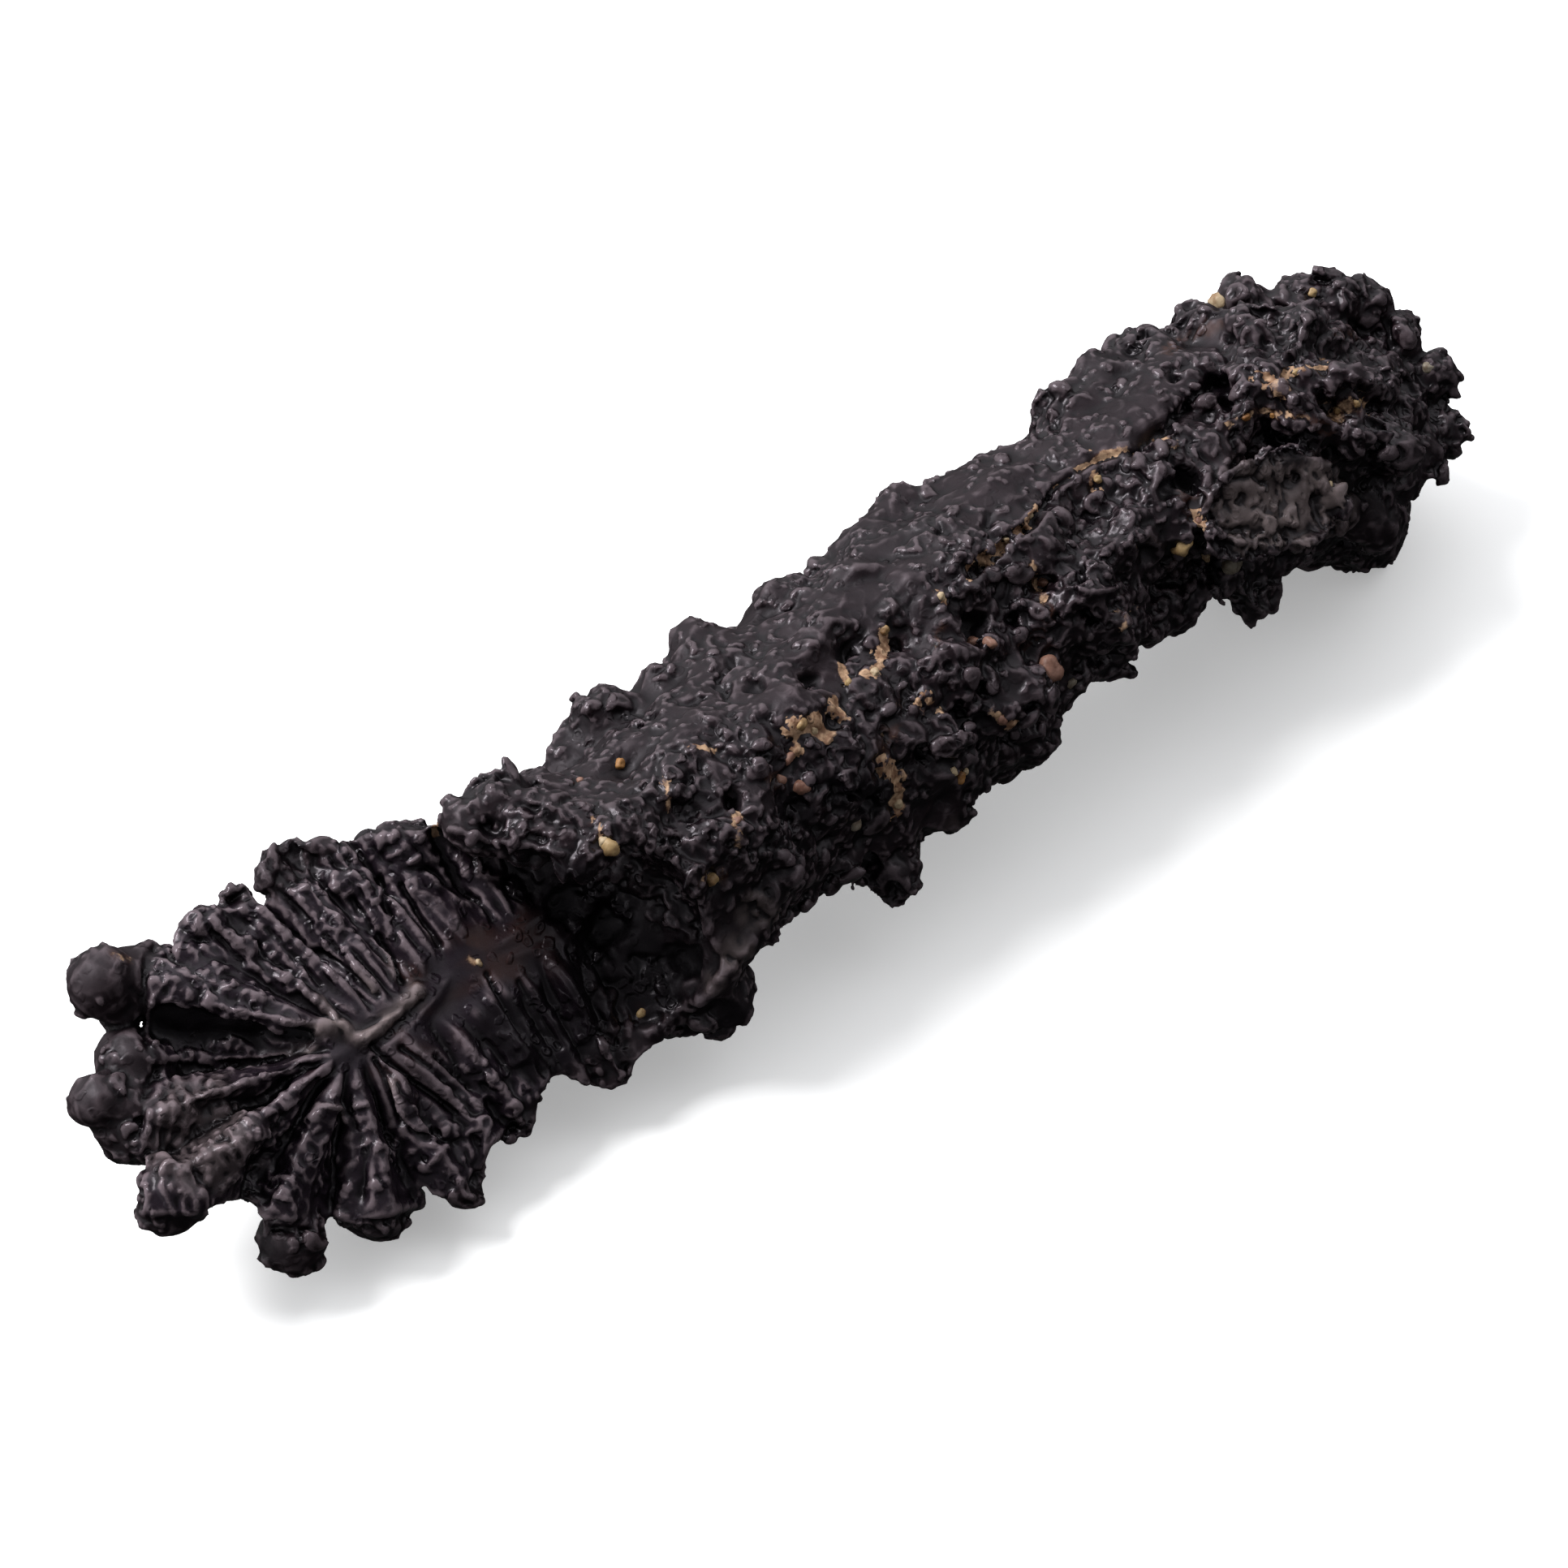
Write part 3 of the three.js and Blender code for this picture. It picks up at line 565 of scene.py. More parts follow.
# ---------------------------------------------------------------- the fan
# The needles of the fan: [share of the way round, start x, start y, direction in degrees].
FAN = np.array([
    [0.0, -11.8, -0.3, 20],
    [0.04, -12.2, 0.2, 62],
    [0.08, -12.8, 0.3, 86],
    [0.14, -14.0, 0.4, 92],
    [0.18, -15.2, 0.4, 92],
    [0.2, -15.9, 0.4, 92],
    [0.38, -20.0, 0.4, 100],
    [0.44, -20.7, 0.4, 125],
    [0.5, -21.0, 0.3, 155],
    [0.56, -21.0, 0.2, 185],
    [0.62, -21.0, 0.0, 215],
    [0.68, -20.8, -0.2, 245],
    [0.72, -20.4, -0.2, 268],
    [0.76, -19.5, -0.2, 284],
    [0.84, -16.0, -0.2, 280],
    [0.91, -13.3, -0.3, 274],
    [0.95, -12.4, -0.4, 268],
    [0.97, -12.1, -0.5, 290],
    [0.985, -11.9, -0.5, 330],
    [1.0, -11.8, -0.3, 380],
])
FAN_START = -10.2  # in the stone's own x, nothing of the fan lies beyond this
FAN_DEPTH = 3.2  # and in its own z, nothing this far from the axis
SPOKES = 900
FAN_ROUND = 46  # millimetres round the fan's rim


def place_in_fan(x, y):
    """Each point's share of the way round the fan, and how far out it is along its needle."""
    shares = np.linspace(0, 1, SPOKES, endpoint=False)
    start_x, start_y, heading = (np.interp(shares, FAN[:, 0], FAN[:, k]) for k in (1, 2, 3))
    along_x, along_y = np.cos(np.radians(heading)), np.sin(np.radians(heading))
    share = np.empty(len(x))
    reach = np.empty(len(x))
    batch = 4000  # points at a time, for arrays of a fair size
    for first in range(0, len(x), batch):
        part = slice(first, first + batch)
        gap_x = x[part, None] - start_x
        gap_y = y[part, None] - start_y
        out = gap_x * along_x + gap_y * along_y
        off = np.abs(gap_x * along_y - gap_y * along_x) + np.where(out < -0.05, 50, 0)
        best = off.argmin(1)
        share[part] = shares[best]
        reach[part] = out[np.arange(len(best)), best]
    return share, np.maximum(reach, 0)


def fan_relief(own, share, reach):
    """How high the fine ribs and wrinkles of the fan stand."""
    around = np.interp(share, [0, 0.46, 0.52, 0.77, 0.83, 1], [0, 21, 23, 29, 31, 39])
    unrolled = np.stack([around, reach * 0.13, 0 * share], 1)
    ribs = 1 - 2 * np.abs(noise(unrolled, 0.8, 21))
    narrow = 1 - 2 * np.abs(noise(unrolled, 0.42, 22))
    warped = own + 0.3 * np.stack([noise(own, 0.8, 24), noise(own, 0.8, 25), 0 * share], 1)
    across = np.stack([share * FAN_ROUND * 0.8, reach * 1.2, own[:, 2] * 0.5], 1)
    folds = 1 - np.abs(noise(across + 0.2 * warped, 0.6, 23)) * 3
    beads, _ = crystals(warped * [1, 1, 0.5], 0.7, 26, fill=0.5, flat=2.4, tilt=1.0)
    outer = smoothstep(reach, 1.5, 3.2)
    patch = smoothstep(noise(own, 1.3, 27), -0.25, 0.25)
    return (
        0.16 * ribs * smoothstep(reach, 0.2, 1.2)
        + 0.05 * narrow * smoothstep(reach, 0.5, 2)
        + 0.11 * np.clip(folds, -0.3, 1) * outer * lerp(0.4, 1, patch)
        + 0.20 * beads * outer * lerp(0.1, 1, patch)
        - 0.08 * outer
    )


# ---------------------------------------------------------------- the skin and its relief
def rounded_knobs(own, inside_fan):
    """Draws the points near each round knob onto its ball."""
    moved = own.copy()
    for *centre, radius in ROUND_KNOBS:
        gap = own - centre
        distance = np.linalg.norm(gap, axis=1)
        pull = (1 - smoothstep(np.abs(distance / radius - 1), 0.25, 0.6)) * (1 - inside_fan)
        ball = centre + gap * (radius / np.maximum(distance, 0.2))[:, None]
        moved = lerp(moved, ball, 0.6 * pull[:, None])
    return moved


def even_net(mesh, ends):
    """Evens out the dense net and rounds its knobs. For each point it returns five facts.

    They are its place, its place in the camera's frame, whether it is at the end with the fan,
    how far inside the fan's rim it is, and how much it belongs to the knobs behind the fan."""
    even = relaxed(coordinates(mesh), ends, 14)
    seen = seen_at(even)
    own = to_own(even)
    at_end = (own[:, 0] < FAN_START) & (np.abs(own[:, 2]) < FAN_DEPTH)
    rim = np.full(len(own), -99.0)
    rim[at_end] = inside_rim(seen[at_end], FAN_RIM)
    inside_fan = smoothstep(rim, -14, 4)
    soft = softened(even, ends, 40)
    loose = (1 - inside_fan) * (1 - smoothstep(own[:, 0], -23, -20))
    own = to_own(lerp(even, soft, loose[:, None]))
    even = from_own(rounded_knobs(own, inside_fan))
    put_coordinates(mesh, even)
    return even, seen, at_end, rim, loose * (1 - inside_fan)


def broken_face(own, own_out, at_end, rim):
    """How much each point belongs to the broken face, its place in the fan and the fan's relief."""
    near_face = at_end & (own_out[:, 2] > -0.1)
    on_face, share, reach, fan = np.zeros((4, len(own)))
    on_face[near_face] = smoothstep(rim[near_face], -4, 10)
    on_face[near_face] *= smoothstep(own_out[near_face, 2], 0.0, 0.35)
    share[near_face], reach[near_face] = place_in_fan(own[near_face, 0], own[near_face, 1])
    fan[near_face] = fan_relief(own[near_face], share[near_face], reach[near_face])
    return on_face, share, reach, fan


def smoothed(points, ends, bare):
    """The points, evened out where they stand in spikes and where the skin is bare."""
    wild = np.linalg.norm(points - softened(points, ends, 2), axis=1)
    wild = softened(smoothstep(wild, 0.07, 0.12)[:, None], ends, 4)[:, 0]
    wild = np.clip(3 * wild, 0, 1)[:, None]
    points = lerp(points, softened(points, ends, 16), wild)
    points = lerp(points, relaxed(points, ends, 12), bare[:, None])
    points[points[:, 2] < 0, 2] = 0
    return points


def crusted(own, seen, facing, speckle):
    """How much tan mineral and how much brown mineral covers each place."""
    tan, brown = np.zeros((2, len(own)))
    broken = smoothstep(noise(own, 0.8, 75), 0.05, -0.25)
    for width, how_brown, line in CRUSTS:
        gap = to_line(seen, line) / width + 0.5 * speckle + 0.6 * broken * (len(line) > 3)
        here = facing * (1 - smoothstep(gap, 0.7, 1.3))
        tan = np.maximum(tan, here * (1 - how_brown))
        brown = np.maximum(brown, here * how_brown)
    return tan, brown


def shape_skin(mesh):
    """Moves the dense net to the crystals, ribs and pits, and returns what its colours need."""
    ends = edge_ends(mesh)
    even, seen, at_end, rim, knobs_only = even_net(mesh, ends)
    out = unit(relaxed(normals(mesh), ends, 5, strengths=(0.6,)))
    own = to_own(even)
    own_out = turned_to_own(out)
    around = np.degrees(np.arctan2(own[:, 1], own[:, 2]))
    x = own[:, 0]
    toward = (unit(camera_at - even) * out).sum(1)
    facing = smoothstep(toward, 0.0, 0.3)
    swirl = np.stack([noise(own, 1.1, seed) for seed in (30, 31, 32)], 1)
    uneven, speckle = noise(own, 0.9, 33), noise(own, 0.35, 34)
    on_face, share, reach, fan = broken_face(own, own_out, at_end, rim)
    off_face = 1 - on_face

    # the skin: soft lumps, crystals large and small, worm-like ridges and pits
    bent = own + 0.3 * swirl
    lumps, _ = crystals(own + 0.5 * swirl, 1.7, 41, fill=0.7, flat=1.8, tilt=0.2)
    middle, tone = crystals(bent, 0.95, 42, fill=0.62, flat=2.8, tilt=1.1)
    worms = np.exp(-(noise(bent, 0.85, 44) / 0.13) ** 2)
    patchy = noise(own, 2.4, 51) + 0.6 * noise(own, 0.9, 52)
    patches = spotted(seen, SMOOTH_PATCHES, 0.7, 1.15, 0.25 * uneven)
    polished = facing * spotted(seen, POLISHED, 0.7, 1.1, 0.2 * uneven)
    shade = facing * spotted(seen, SHADES, 0.7, 1.1, 0.2 * uneven)
    plateau = between(around, 26, 42, 88, 105) * between(x, -13, -10, 19, 23)
    level = smoothstep(patchy + 0.4 * plateau, 0.15, 0.45)
    smooth = highest(0.9 * level, patches * facing, polished, 0.75 * knobs_only)
    crust = off_face * (1 - 0.88 * smooth)
    rise = (
        LUMP_HEIGHT * (lumps - 0.5) * off_face * (1 - 0.5 * smooth)
        + CRYSTAL_HEIGHT * (middle - 0.15) * crust
        + WORM_HEIGHT * worms * off_face * (1 - 0.7 * smooth)
        + 0.02 * off_face
        + 0.10 * knobs_only
        - CRUST_SINK * crust
    )
    holes, _ = crystals(bent + 7, 0.85, 61, fill=0.35, flat=1.6, tilt=0)
    rise -= PIT_DEPTH * smoothstep(holes, 0.35, 0.8) * off_face * lerp(1, 0.1, smooth)
    rise += 0.05 * noise(own, 0.8, 62) * smooth * off_face

    # what is seen from the camera, stroke by stroke
    ridges, grooves = drawn(seen, RIDGES), drawn(seen, GROOVES)
    ridges *= 1 + 0.5 * speckle
    hollows = spotted(seen, HOLLOWS, 0.3, 1.3, 0.4 * swirl[:, 0], 0.4 * speckle)
    rise += facing * (ridges - grooves - hollows)
    rise += fan * on_face
    trough = facing * smoothstep(drawn(seen, TROUGH), 0.3, 0.7)
    rise = lerp(rise, -TROUGH_DEPTH, trough)

    bare = np.maximum(trough, smoothstep(hollows * facing, 0.1, 0.25))
    points = smoothed(from_own(own + own_out * rise[:, None]), ends, bare)
    put_coordinates(mesh, points)
    moved = to_own(points)
    broad_out = relaxed(out, ends, 40, strengths=(0.6,))
    flatness = (out * broad_out).sum(1) / np.linalg.norm(broad_out, axis=1)
    flatness = smoothstep(flatness, 0.87, 0.975) * (1 - polished)

    # crusts of tan mineral and sand, and painted shade where the skin lies low, in hollows or in
    # shadow
    tan, brown = crusted(own, seen, facing, speckle)
    behind = 1 - smoothstep(toward, -0.1, 0.1)
    # the fan's two ends beside the shelf lie in its shadow: fewer crystals grow there, and both get a
    # painted shade
    dim = np.maximum(smoothstep(share, 0.86, 0.93), 1 - smoothstep(share, 0.03, 0.1)) * on_face
    spread = smoothstep(noise(own, 1.1, 72) + 0.7 * noise(own, 4, 73), 0.62, 0.85) * behind
    low = smoothstep(LUMP_HEIGHT * (lumps - 0.5) - rise, 0.1, 0.34) * off_face
    low = np.maximum(low, on_face * smoothstep(-(fan + ridges - grooves), 0.03, 0.25))
    tan = np.maximum(tan, spread * low)
    # painted shade, near black: low places, the hollows, gaps in the crust, the fan's shadowed ends,
    # bare skin and the shaded spots
    patchy_low = 0.45 * crust * smoothstep(noise(own, 0.9, 77), -0.4, 0.1)
    hollow_shade = highest(low, 1.5 * hollows * facing, patchy_low, 0.75 * dim, bare, 0.85 * shade)
    rust = on_face * (1 - smoothstep(reach, 0.2, 2.0)) * smoothstep(noise(own, 1.2, 74), -0.1, 0.5)
    rust = np.maximum(0.6 * rust, brown)
    # paler colour: the fan's own pale crest, and painted light on the light patches
    pale = np.clip(2.5 * ridges * facing, 0, 1) * on_face * (1 - smoothstep(reach, 0.6, 2.4))
    pale = highest(pale, facing * spotted(seen, LIGHT_PATCHES, 0.6, 1.2, 0.25 * uneven))
    # the mineral layer carries this painted shade besides the minerals, and the surface layer's pale
    # carries painted light
    colours = {
        "mineral": [tan, rust, hollow_shade, tone],
        "surface": [1 - smooth, on_face, pale, trough],
    }
    outer = smoothstep(reach, 1.0, 3.0) * smoothstep(rim, 18, 36)
    open_skin = off_face * (1 - bare) * (1 - 0.6 * shade) * flatness
    lobe = between(share, 0.5, 0.54, 0.76, 0.8) * on_face
    heading = np.radians(np.interp(share, FAN[:, 0], FAN[:, 3]))
    needles = np.stack([np.cos(heading), np.sin(heading), 0 * x], 1)
    growth = {
        "at": moved,
        "out": own_out,
        "crust": (0.06 + 0.94 * crust) * off_face * (1 - bare) * lerp(0.4, 1, flatness),
        "rings": open_skin * (1 - 0.35 * patches * facing) * (1 - 0.75 * knobs_only),
        "fan": on_face * outer * (1 - bare) * lerp(1, 0.5, dim) * flatness,
        "lobe": lobe,
        "needles": needles,
        "tan": tan,
        "rust": rust,
        "shade": np.maximum(0.85 * shade, 0.6 * dim),
        "pale": pale,
    }
    return colours, growth


# ---------------------------------------------------------------- materials
class Nodes:
    """Short calls for building the nodes of a material or a world."""

    def __init__(self, owner):
        owner.use_nodes = True
        self.tree = owner.node_tree

    def add(self, kind, settings=None, **inputs):
        node = self.tree.nodes.new("ShaderNode" + kind)
        for key, value in (settings or {}).items():
            setattr(node, key, value)
        self.put_all(node, **inputs)
        return node

    def put(self, node, key, value):
        socket = node.inputs[int(key)] if key.isdigit() else node.inputs[key]
        if isinstance(value, bpy.types.NodeSocket):
            self.tree.links.new(value, socket)
        else:
            socket.default_value = (*value, 1.0) if socket.type == "RGBA" else value

    def put_all(self, node, **inputs):
        for key, value in inputs.items():
            self.put(node, key.replace("_", " "), value)

    def shade(self, **inputs):
        """Sets the inputs of the material's own shader."""
        self.put_all(self.tree.nodes["Principled BSDF"], **inputs)

    def math(self, operation, a, b, clamp=False):
        node = self.add("Math", {"operation": operation, "use_clamp": clamp})
        self.put(node, "0", a)
        self.put(node, "1", b)
        return node.outputs[0]

    def plus(self, a, b, clamp=False):
        return self.math("ADD", a, b, clamp)

    def minus(self, a, b, clamp=False):
        return self.math("SUBTRACT", a, b, clamp)

    def times(self, a, b, clamp=False):
        return self.math("MULTIPLY", a, b, clamp)

    def split(self, tint):
        """The red, green and blue of a colour."""
        return self.add("SeparateColor", Color=tint).outputs

    def layer(self, name):
        """The four numbers that the mesh keeps under a name."""
        layer = self.add("Attribute", {"attribute_name": name}).outputs
        return (*self.split(layer["Color"]), layer["Alpha"])

    def step(self, value, low, high, start=0.0, end=1.0):
        node = self.add("MapRange", {"interpolation_type": "SMOOTHSTEP"}, Value=value,
                        From_Min=low, From_Max=high, To_Min=start, To_Max=end)
        return node.outputs["Result"]

    def mix(self, share, a, b, blend="MIX"):
        node = self.add("Mix", {"data_type": "RGBA", "blend_type": blend})
        self.put(node, "0", share)
        self.put(node, "6", a)
        self.put(node, "7", b)
        return node.outputs[2]

    def noise(self, size, detail=3.0):
        where = self.add("TexCoord").outputs["Object"]
        node = self.add("TexNoise", Vector=where, Scale=1000 / size, Detail=detail,
                        Roughness=0.55)
        return node.outputs["Fac"]


def stone_material():
    material = bpy.data.materials.new("desert_varnish")
    n = Nodes(material)
    tan, rust, hollow_shade, tone = n.layer("mineral")
    crust, fan, pale, trough = n.layer("surface")
    crest, height, _, _ = n.layer("form")
    broad = n.noise(3.0)
    fine = n.noise(0.3, 4.0)

    # crystals too small for the mesh: discs and rings, with a painted shade in the crevices round
    # them
    where = n.add("TexCoord").outputs["Object"]
    swirl = n.add("TexNoise", Vector=where, Scale=1000 / 0.6).outputs["Color"]
    bend = n.add("VectorMath", {"operation": "SCALE"}, Vector=swirl, Scale=0.0005)
    bent = n.add("VectorMath", {"operation": "ADD"}, **{"0": where, "1": bend.outputs[0]})
    cell = n.add("TexVoronoi", Vector=bent.outputs[0], Scale=1000 / 0.5)
    chance = n.split(cell.outputs["Color"])[0]
    top = n.step(cell.outputs["Distance"], 0.5, 0.30)
    pit = n.times(n.step(cell.outputs["Distance"], 0.3, 0.1), n.step(chance, 0.55, 0.6))
    tops = n.minus(top, n.times(pit, 0.8))
    tops = n.times(tops, n.step(chance, 0.35, 0.4))
    crevice_shade = n.times(n.step(tops, 0.4, 0.05), n.times(crust, 0.2))

    # the fan's fresh break, painted lighter than the varnish: partly its own colour, partly a painted
    # sheen
    needles = n.mix(broad, (0.0090, 0.0056, 0.0094), (0.018, 0.0125, 0.0175))
    # painted highlight: the highest crests are painted light grey, and made glossier
    crest_highlight = n.times(n.step(crest, 0.52, 0.78), n.step(height, 0.38, 0.62))
    crest_highlight = n.times(crest_highlight, n.minus(1.0, hollow_shade, True))
    # painted shade: low places and the foot of each crest
    sunken_shade = n.math("MAXIMUM", n.step(height, 0.5, 0.3), n.step(crest, 0.48, 0.3))
    covered = n.step(n.plus(tan, n.times(n.minus(fine, 0.5), 0.9)), 0.35, 0.6)
    sand = n.mix(n.step(fine, 0.35, 0.7), (0.16, 0.082, 0.045), (0.46, 0.30, 0.19))
    base = n.mix(n.step(broad, 0.4, 0.62), (0.0046, 0.0019, 0.0030), (0.0082, 0.0038, 0.0054))
    coats = [
        (n.times(tone, 0.25), (0.018, 0.012, 0.014)),
        (fan, needles),
        # painted shade in the crevices
        (crevice_shade, (0.003, 0.0015, 0.0025)),
        (n.times(rust, 0.9, True), (0.042, 0.016, 0.010)),
        # painted highlight on the crests, stronger on the fan
        (n.times(crest_highlight, n.plus(n.times(fan, 0.36), 0.44)), (0.150, 0.116, 0.130)),
        # the fan's pale crest, and painted light on the light patches
        (pale, (0.19, 0.15, 0.145)),
        # painted shade, near black, in hollows, low places and shadowed spots
        (hollow_shade, (0.0025, 0.0015, 0.0025)),
        (n.times(sunken_shade, 0.9), (0.0015, 0.001, 0.0015)),
        (trough, (0.001, 0.0009, 0.0016)),
        (covered, sand),
    ]
    for share, tint in coats:
        base = n.mix(share, base, tint)
    gloss = n.minus(0.58, n.times(n.math("MAXIMUM", crust, fan), 0.27))
    gloss = n.plus(gloss, n.times(n.minus(fine, 0.5), 0.25))
    gloss = n.minus(gloss, n.times(crest_highlight, 0.12))
    gloss = n.plus(gloss, n.times(covered, 0.35), True)
    bumps = n.times(tops, n.plus(n.times(crust, 0.5), 0.3))
    bumps = n.times(bumps, n.minus(1.0, trough))
    grain = n.add("Bump", Strength=0.3, Distance=0.00003, Height=n.noise(0.2, 3.0))
    lumps = n.add("Bump", Strength=0.6, Distance=0.00008, Height=bumps,
                  Normal=grain.outputs[0])
    n.shade(Base_Color=base, Roughness=gloss, IOR=1.33, Specular_Tint=(1.0, 0.92, 1.0),
            Normal=lumps.outputs[0])
    return material


def grain_material():
    material = bpy.data.materials.new("desert_sand")
    n = Nodes(material)
    kind = n.layer("mineral")[0]
    ramp = n.add("ValToRGB", Fac=kind)
    stops = ramp.color_ramp
    stops.interpolation = "CONSTANT"
    count = len(GRAIN_TINTS)
    while len(stops.elements) < count:
        stops.elements.new(1.0)
    for k, (element, tint) in enumerate(zip(stops.elements, GRAIN_TINTS.values())):
        element.position = k / count
        element.color = (*tint, 1.0)
    fine = n.noise(0.25, 3.0)
    stained = n.mix(n.step(n.noise(0.5), 0.45, 0.7), ramp.outputs["Color"], (0.5, 0.38, 0.3),
                    "MULTIPLY")
    bump = n.add("Bump", Strength=0.4, Distance=0.00006, Height=fine)
    rough = n.plus(0.4, n.times(fine, 0.3))
    n.shade(Base_Color=stained, Roughness=rough, Normal=bump.outputs[0])
    return material


def paper_material():
    material = bpy.data.materials.new("paper")
    n = Nodes(material)
    base = n.mix(n.noise(30.0), (0.86, 0.86, 0.86), (0.88, 0.88, 0.88))
    n.shade(Base_Color=base, Roughness=0.9, Specular_IOR_Level=0.1,
            Emission_Color=(1.0, 1.0, 1.0), Emission_Strength=0.33)
    return material


# ---------------------------------------------------------------- light and floor
def add_window():
    data = bpy.data.lights.new("window", "AREA")
    data.shape = "DISK"
    data.size = WINDOW_SIZE
    data.energy = WINDOW_POWER
    light = linked("window", data)
    light.location = WINDOW_AT
    light.rotation_euler = (-Vector(WINDOW_AT)).to_track_quat("-Z", "Y").to_euler()


def add_surroundings():
    """A white room, brightest above and behind the stone and dark in front, and the white floor."""
    world = bpy.data.worlds.new("white_room")
    bpy.context.scene.world = world
    n = Nodes(world)
    heading = n.add("TexCoord").outputs["Generated"]

    def lit(direction, low, high, dark, bright):
        toward = n.add("VectorMath", {"operation": "DOT_PRODUCT"}, **{"0": heading, "1": direction})
        return n.step(toward.outputs["Value"], low, high, dark, bright)

    strength = n.times(lit((-0.25, 0.20, 0.95), -0.4, 0.85, 0.03, 1.7),
                       lit(tuple(camera_back), 0.45, 0.92, 1.0, 0.12))
    n.put_all(n.tree.nodes["Background"], Color=(0.97, 0.98, 1.0), Strength=strength)
    add_window()
    bpy.ops.mesh.primitive_plane_add(size=6)
    floor = bpy.context.object
    floor.name = "floor"
    floor.data.materials.append(paper_material())
    floor.visible_diffuse = False
    floor.visible_glossy = False


# ---------------------------------------------------------------- crystals
def ball(detail):
    """Points and triangles of a round ball of radius 1."""
    mesh = bpy.data.meshes.new("ball")
    shape = bmesh.new()
    bmesh.ops.create_icosphere(shape, subdivisions=detail, radius=1)
    shape.to_mesh(mesh)
    shape.free()
    return coordinates(mesh), np.array([p.vertices[:] for p in mesh.polygons])


def crystal_shapes(random):
    """Blocky, dimpled and leaning crystals made from a ball: their points and triangles."""
    body, faces = ball(2)
    shapes = []
    for k in range(BLOCK_KINDS):
        facets = unit(random.normal(size=(FACETS, 3)))
        reach = lerp(0.65, 1.0, random.rand(FACETS)) / np.maximum(body @ facets.T, 0.2)
        shape = body * np.minimum(1.05, reach.min(1))[:, None]
        shape *= 1 + 0.12 * noise(body + 10.0 * k, 0.9, 91)[:, None]
        shape *= [lerp(0.9, 1.4, random.rand()), lerp(0.65, 1.0, random.rand()), 0.85]
        along, up = shape[:, 0], shape[:, 2].copy()
        off = (shape[:, :2] ** 2).sum(1)
        shape[:, 1] += 0.7 * (random.rand() - 0.5) * along ** 2
        shape[:, 2] -= lerp(-0.1, 0.6, random.rand()) * np.exp(-off / 0.2) * (up > 0)
        shape[:, 2] += 0.4 * (random.rand() - 0.5) * along
        shapes.append(shape)
    return np.array(shapes), faces


def worm_shapes(random, least_bend, most_bend):
    """Short worm-like ridges bent into arcs and nearly closed rings: their points and triangles."""
    shapes, rings, sides = [], WORM_RINGS, WORM_SIDES
    for _ in range(WORM_KINDS):
        bend = math.radians(lerp(least_bend, most_bend, random.rand()))
        radius = 1 / math.sin(min(bend, math.pi) / 2)
        turn = bend * (np.linspace(-0.5, 0.5, rings) + 0.03 * random.normal(size=rings))
        line = np.stack([radius * np.sin(turn), radius * (1 - np.cos(turn)), 0 * turn], 1)
        line[:, 1] -= line[:, 1].mean()
        line[:, 2] = 0.10 * random.normal(size=rings) - 0.5 * np.abs(np.linspace(-1, 1, rings)) ** 3
        outward = np.stack([np.sin(turn), -np.cos(turn), 0 * turn], 1)
        thick = lerp(0.22, 0.36, random.rand()) * lerp(0.78, 1.18, random.rand(rings))
        thick *= 1 - 0.35 * np.abs(np.linspace(-1, 1, rings)) ** 4
        angle = np.arange(sides) * 2 * math.pi / sides
        ring = np.cos(angle)[None, :, None] * outward[:, None, :]
        ring = ring + np.sin(angle)[None, :, None] * np.array([0, 0, 1.15])
        points = (line[:, None, :] + thick[:, None, None] * ring).reshape(-1, 3)
        tips = [line[0] + 0.6 * (line[0] - line[1]), line[-1] + 0.6 * (line[-1] - line[-2])]
        shapes.append(np.concatenate([points, tips]))
    here = (np.arange(rings - 1)[:, None] * sides + np.arange(sides)).ravel()
    after = (np.arange(rings - 1)[:, None] * sides + (np.arange(sides) + 1) % sides).ravel()
    first, last = np.arange(sides), (rings - 1) * sides + np.arange(sides)
    start = np.full(sides, rings * sides)
    faces = np.concatenate([
        np.stack([here, after, after + sides], 1), np.stack([here, after + sides, here + sides], 1),
        np.stack([np.roll(first, -1), first, start], 1),
        np.stack([last, np.roll(last, -1), start + 1], 1),
    ])
    return np.array(shapes), faces


def scattered(points, spacing, share, random):
    """About one point in each cube of a grid that the points pass through, where share allows."""
    cubes = 2048  # along each side of the grid, more than the stone needs
    cube = np.floor(points / spacing).astype(np.int64) + cubes // 2
    key = cube @ [cubes ** 2, cubes, 1]
    order = random.permutation(len(points))
    _, first = np.unique(key[order], return_index=True)
    chosen = order[first]
    return chosen[random.rand(len(chosen)) < share[chosen]]


def tree_of(points):
    """A tree that finds the nearest of the points to a place."""
    tree = KDTree(len(points))
    for k, point in enumerate(points):
        tree.insert(point, k)
    tree.balance()
    return tree


def settling(worms, heights, tree, growth):
    """How far each worm's points move, for every ring to lie at its own height over the skin."""
    rings = heights.reshape(len(worms), -1, WORM_SIDES).mean(2)
    middles = worms[:, :-2].reshape(len(worms), -1, WORM_SIDES, 3).mean(2)
    nearest = np.array([tree.find(middle)[1] for middle in middles.reshape(-1, 3)], int)
    nearest = nearest.reshape(rings.shape)
    out = growth["out"][nearest]
    gap = ((middles - growth["at"][nearest]) * out).sum(2)
    move = np.clip(rings - gap, -WORM_DROP, WORM_LIFT)[:, :, None] * out
    return np.concatenate([np.repeat(move, WORM_SIDES, axis=1), move[:, :1], move[:, -1:]], 1)


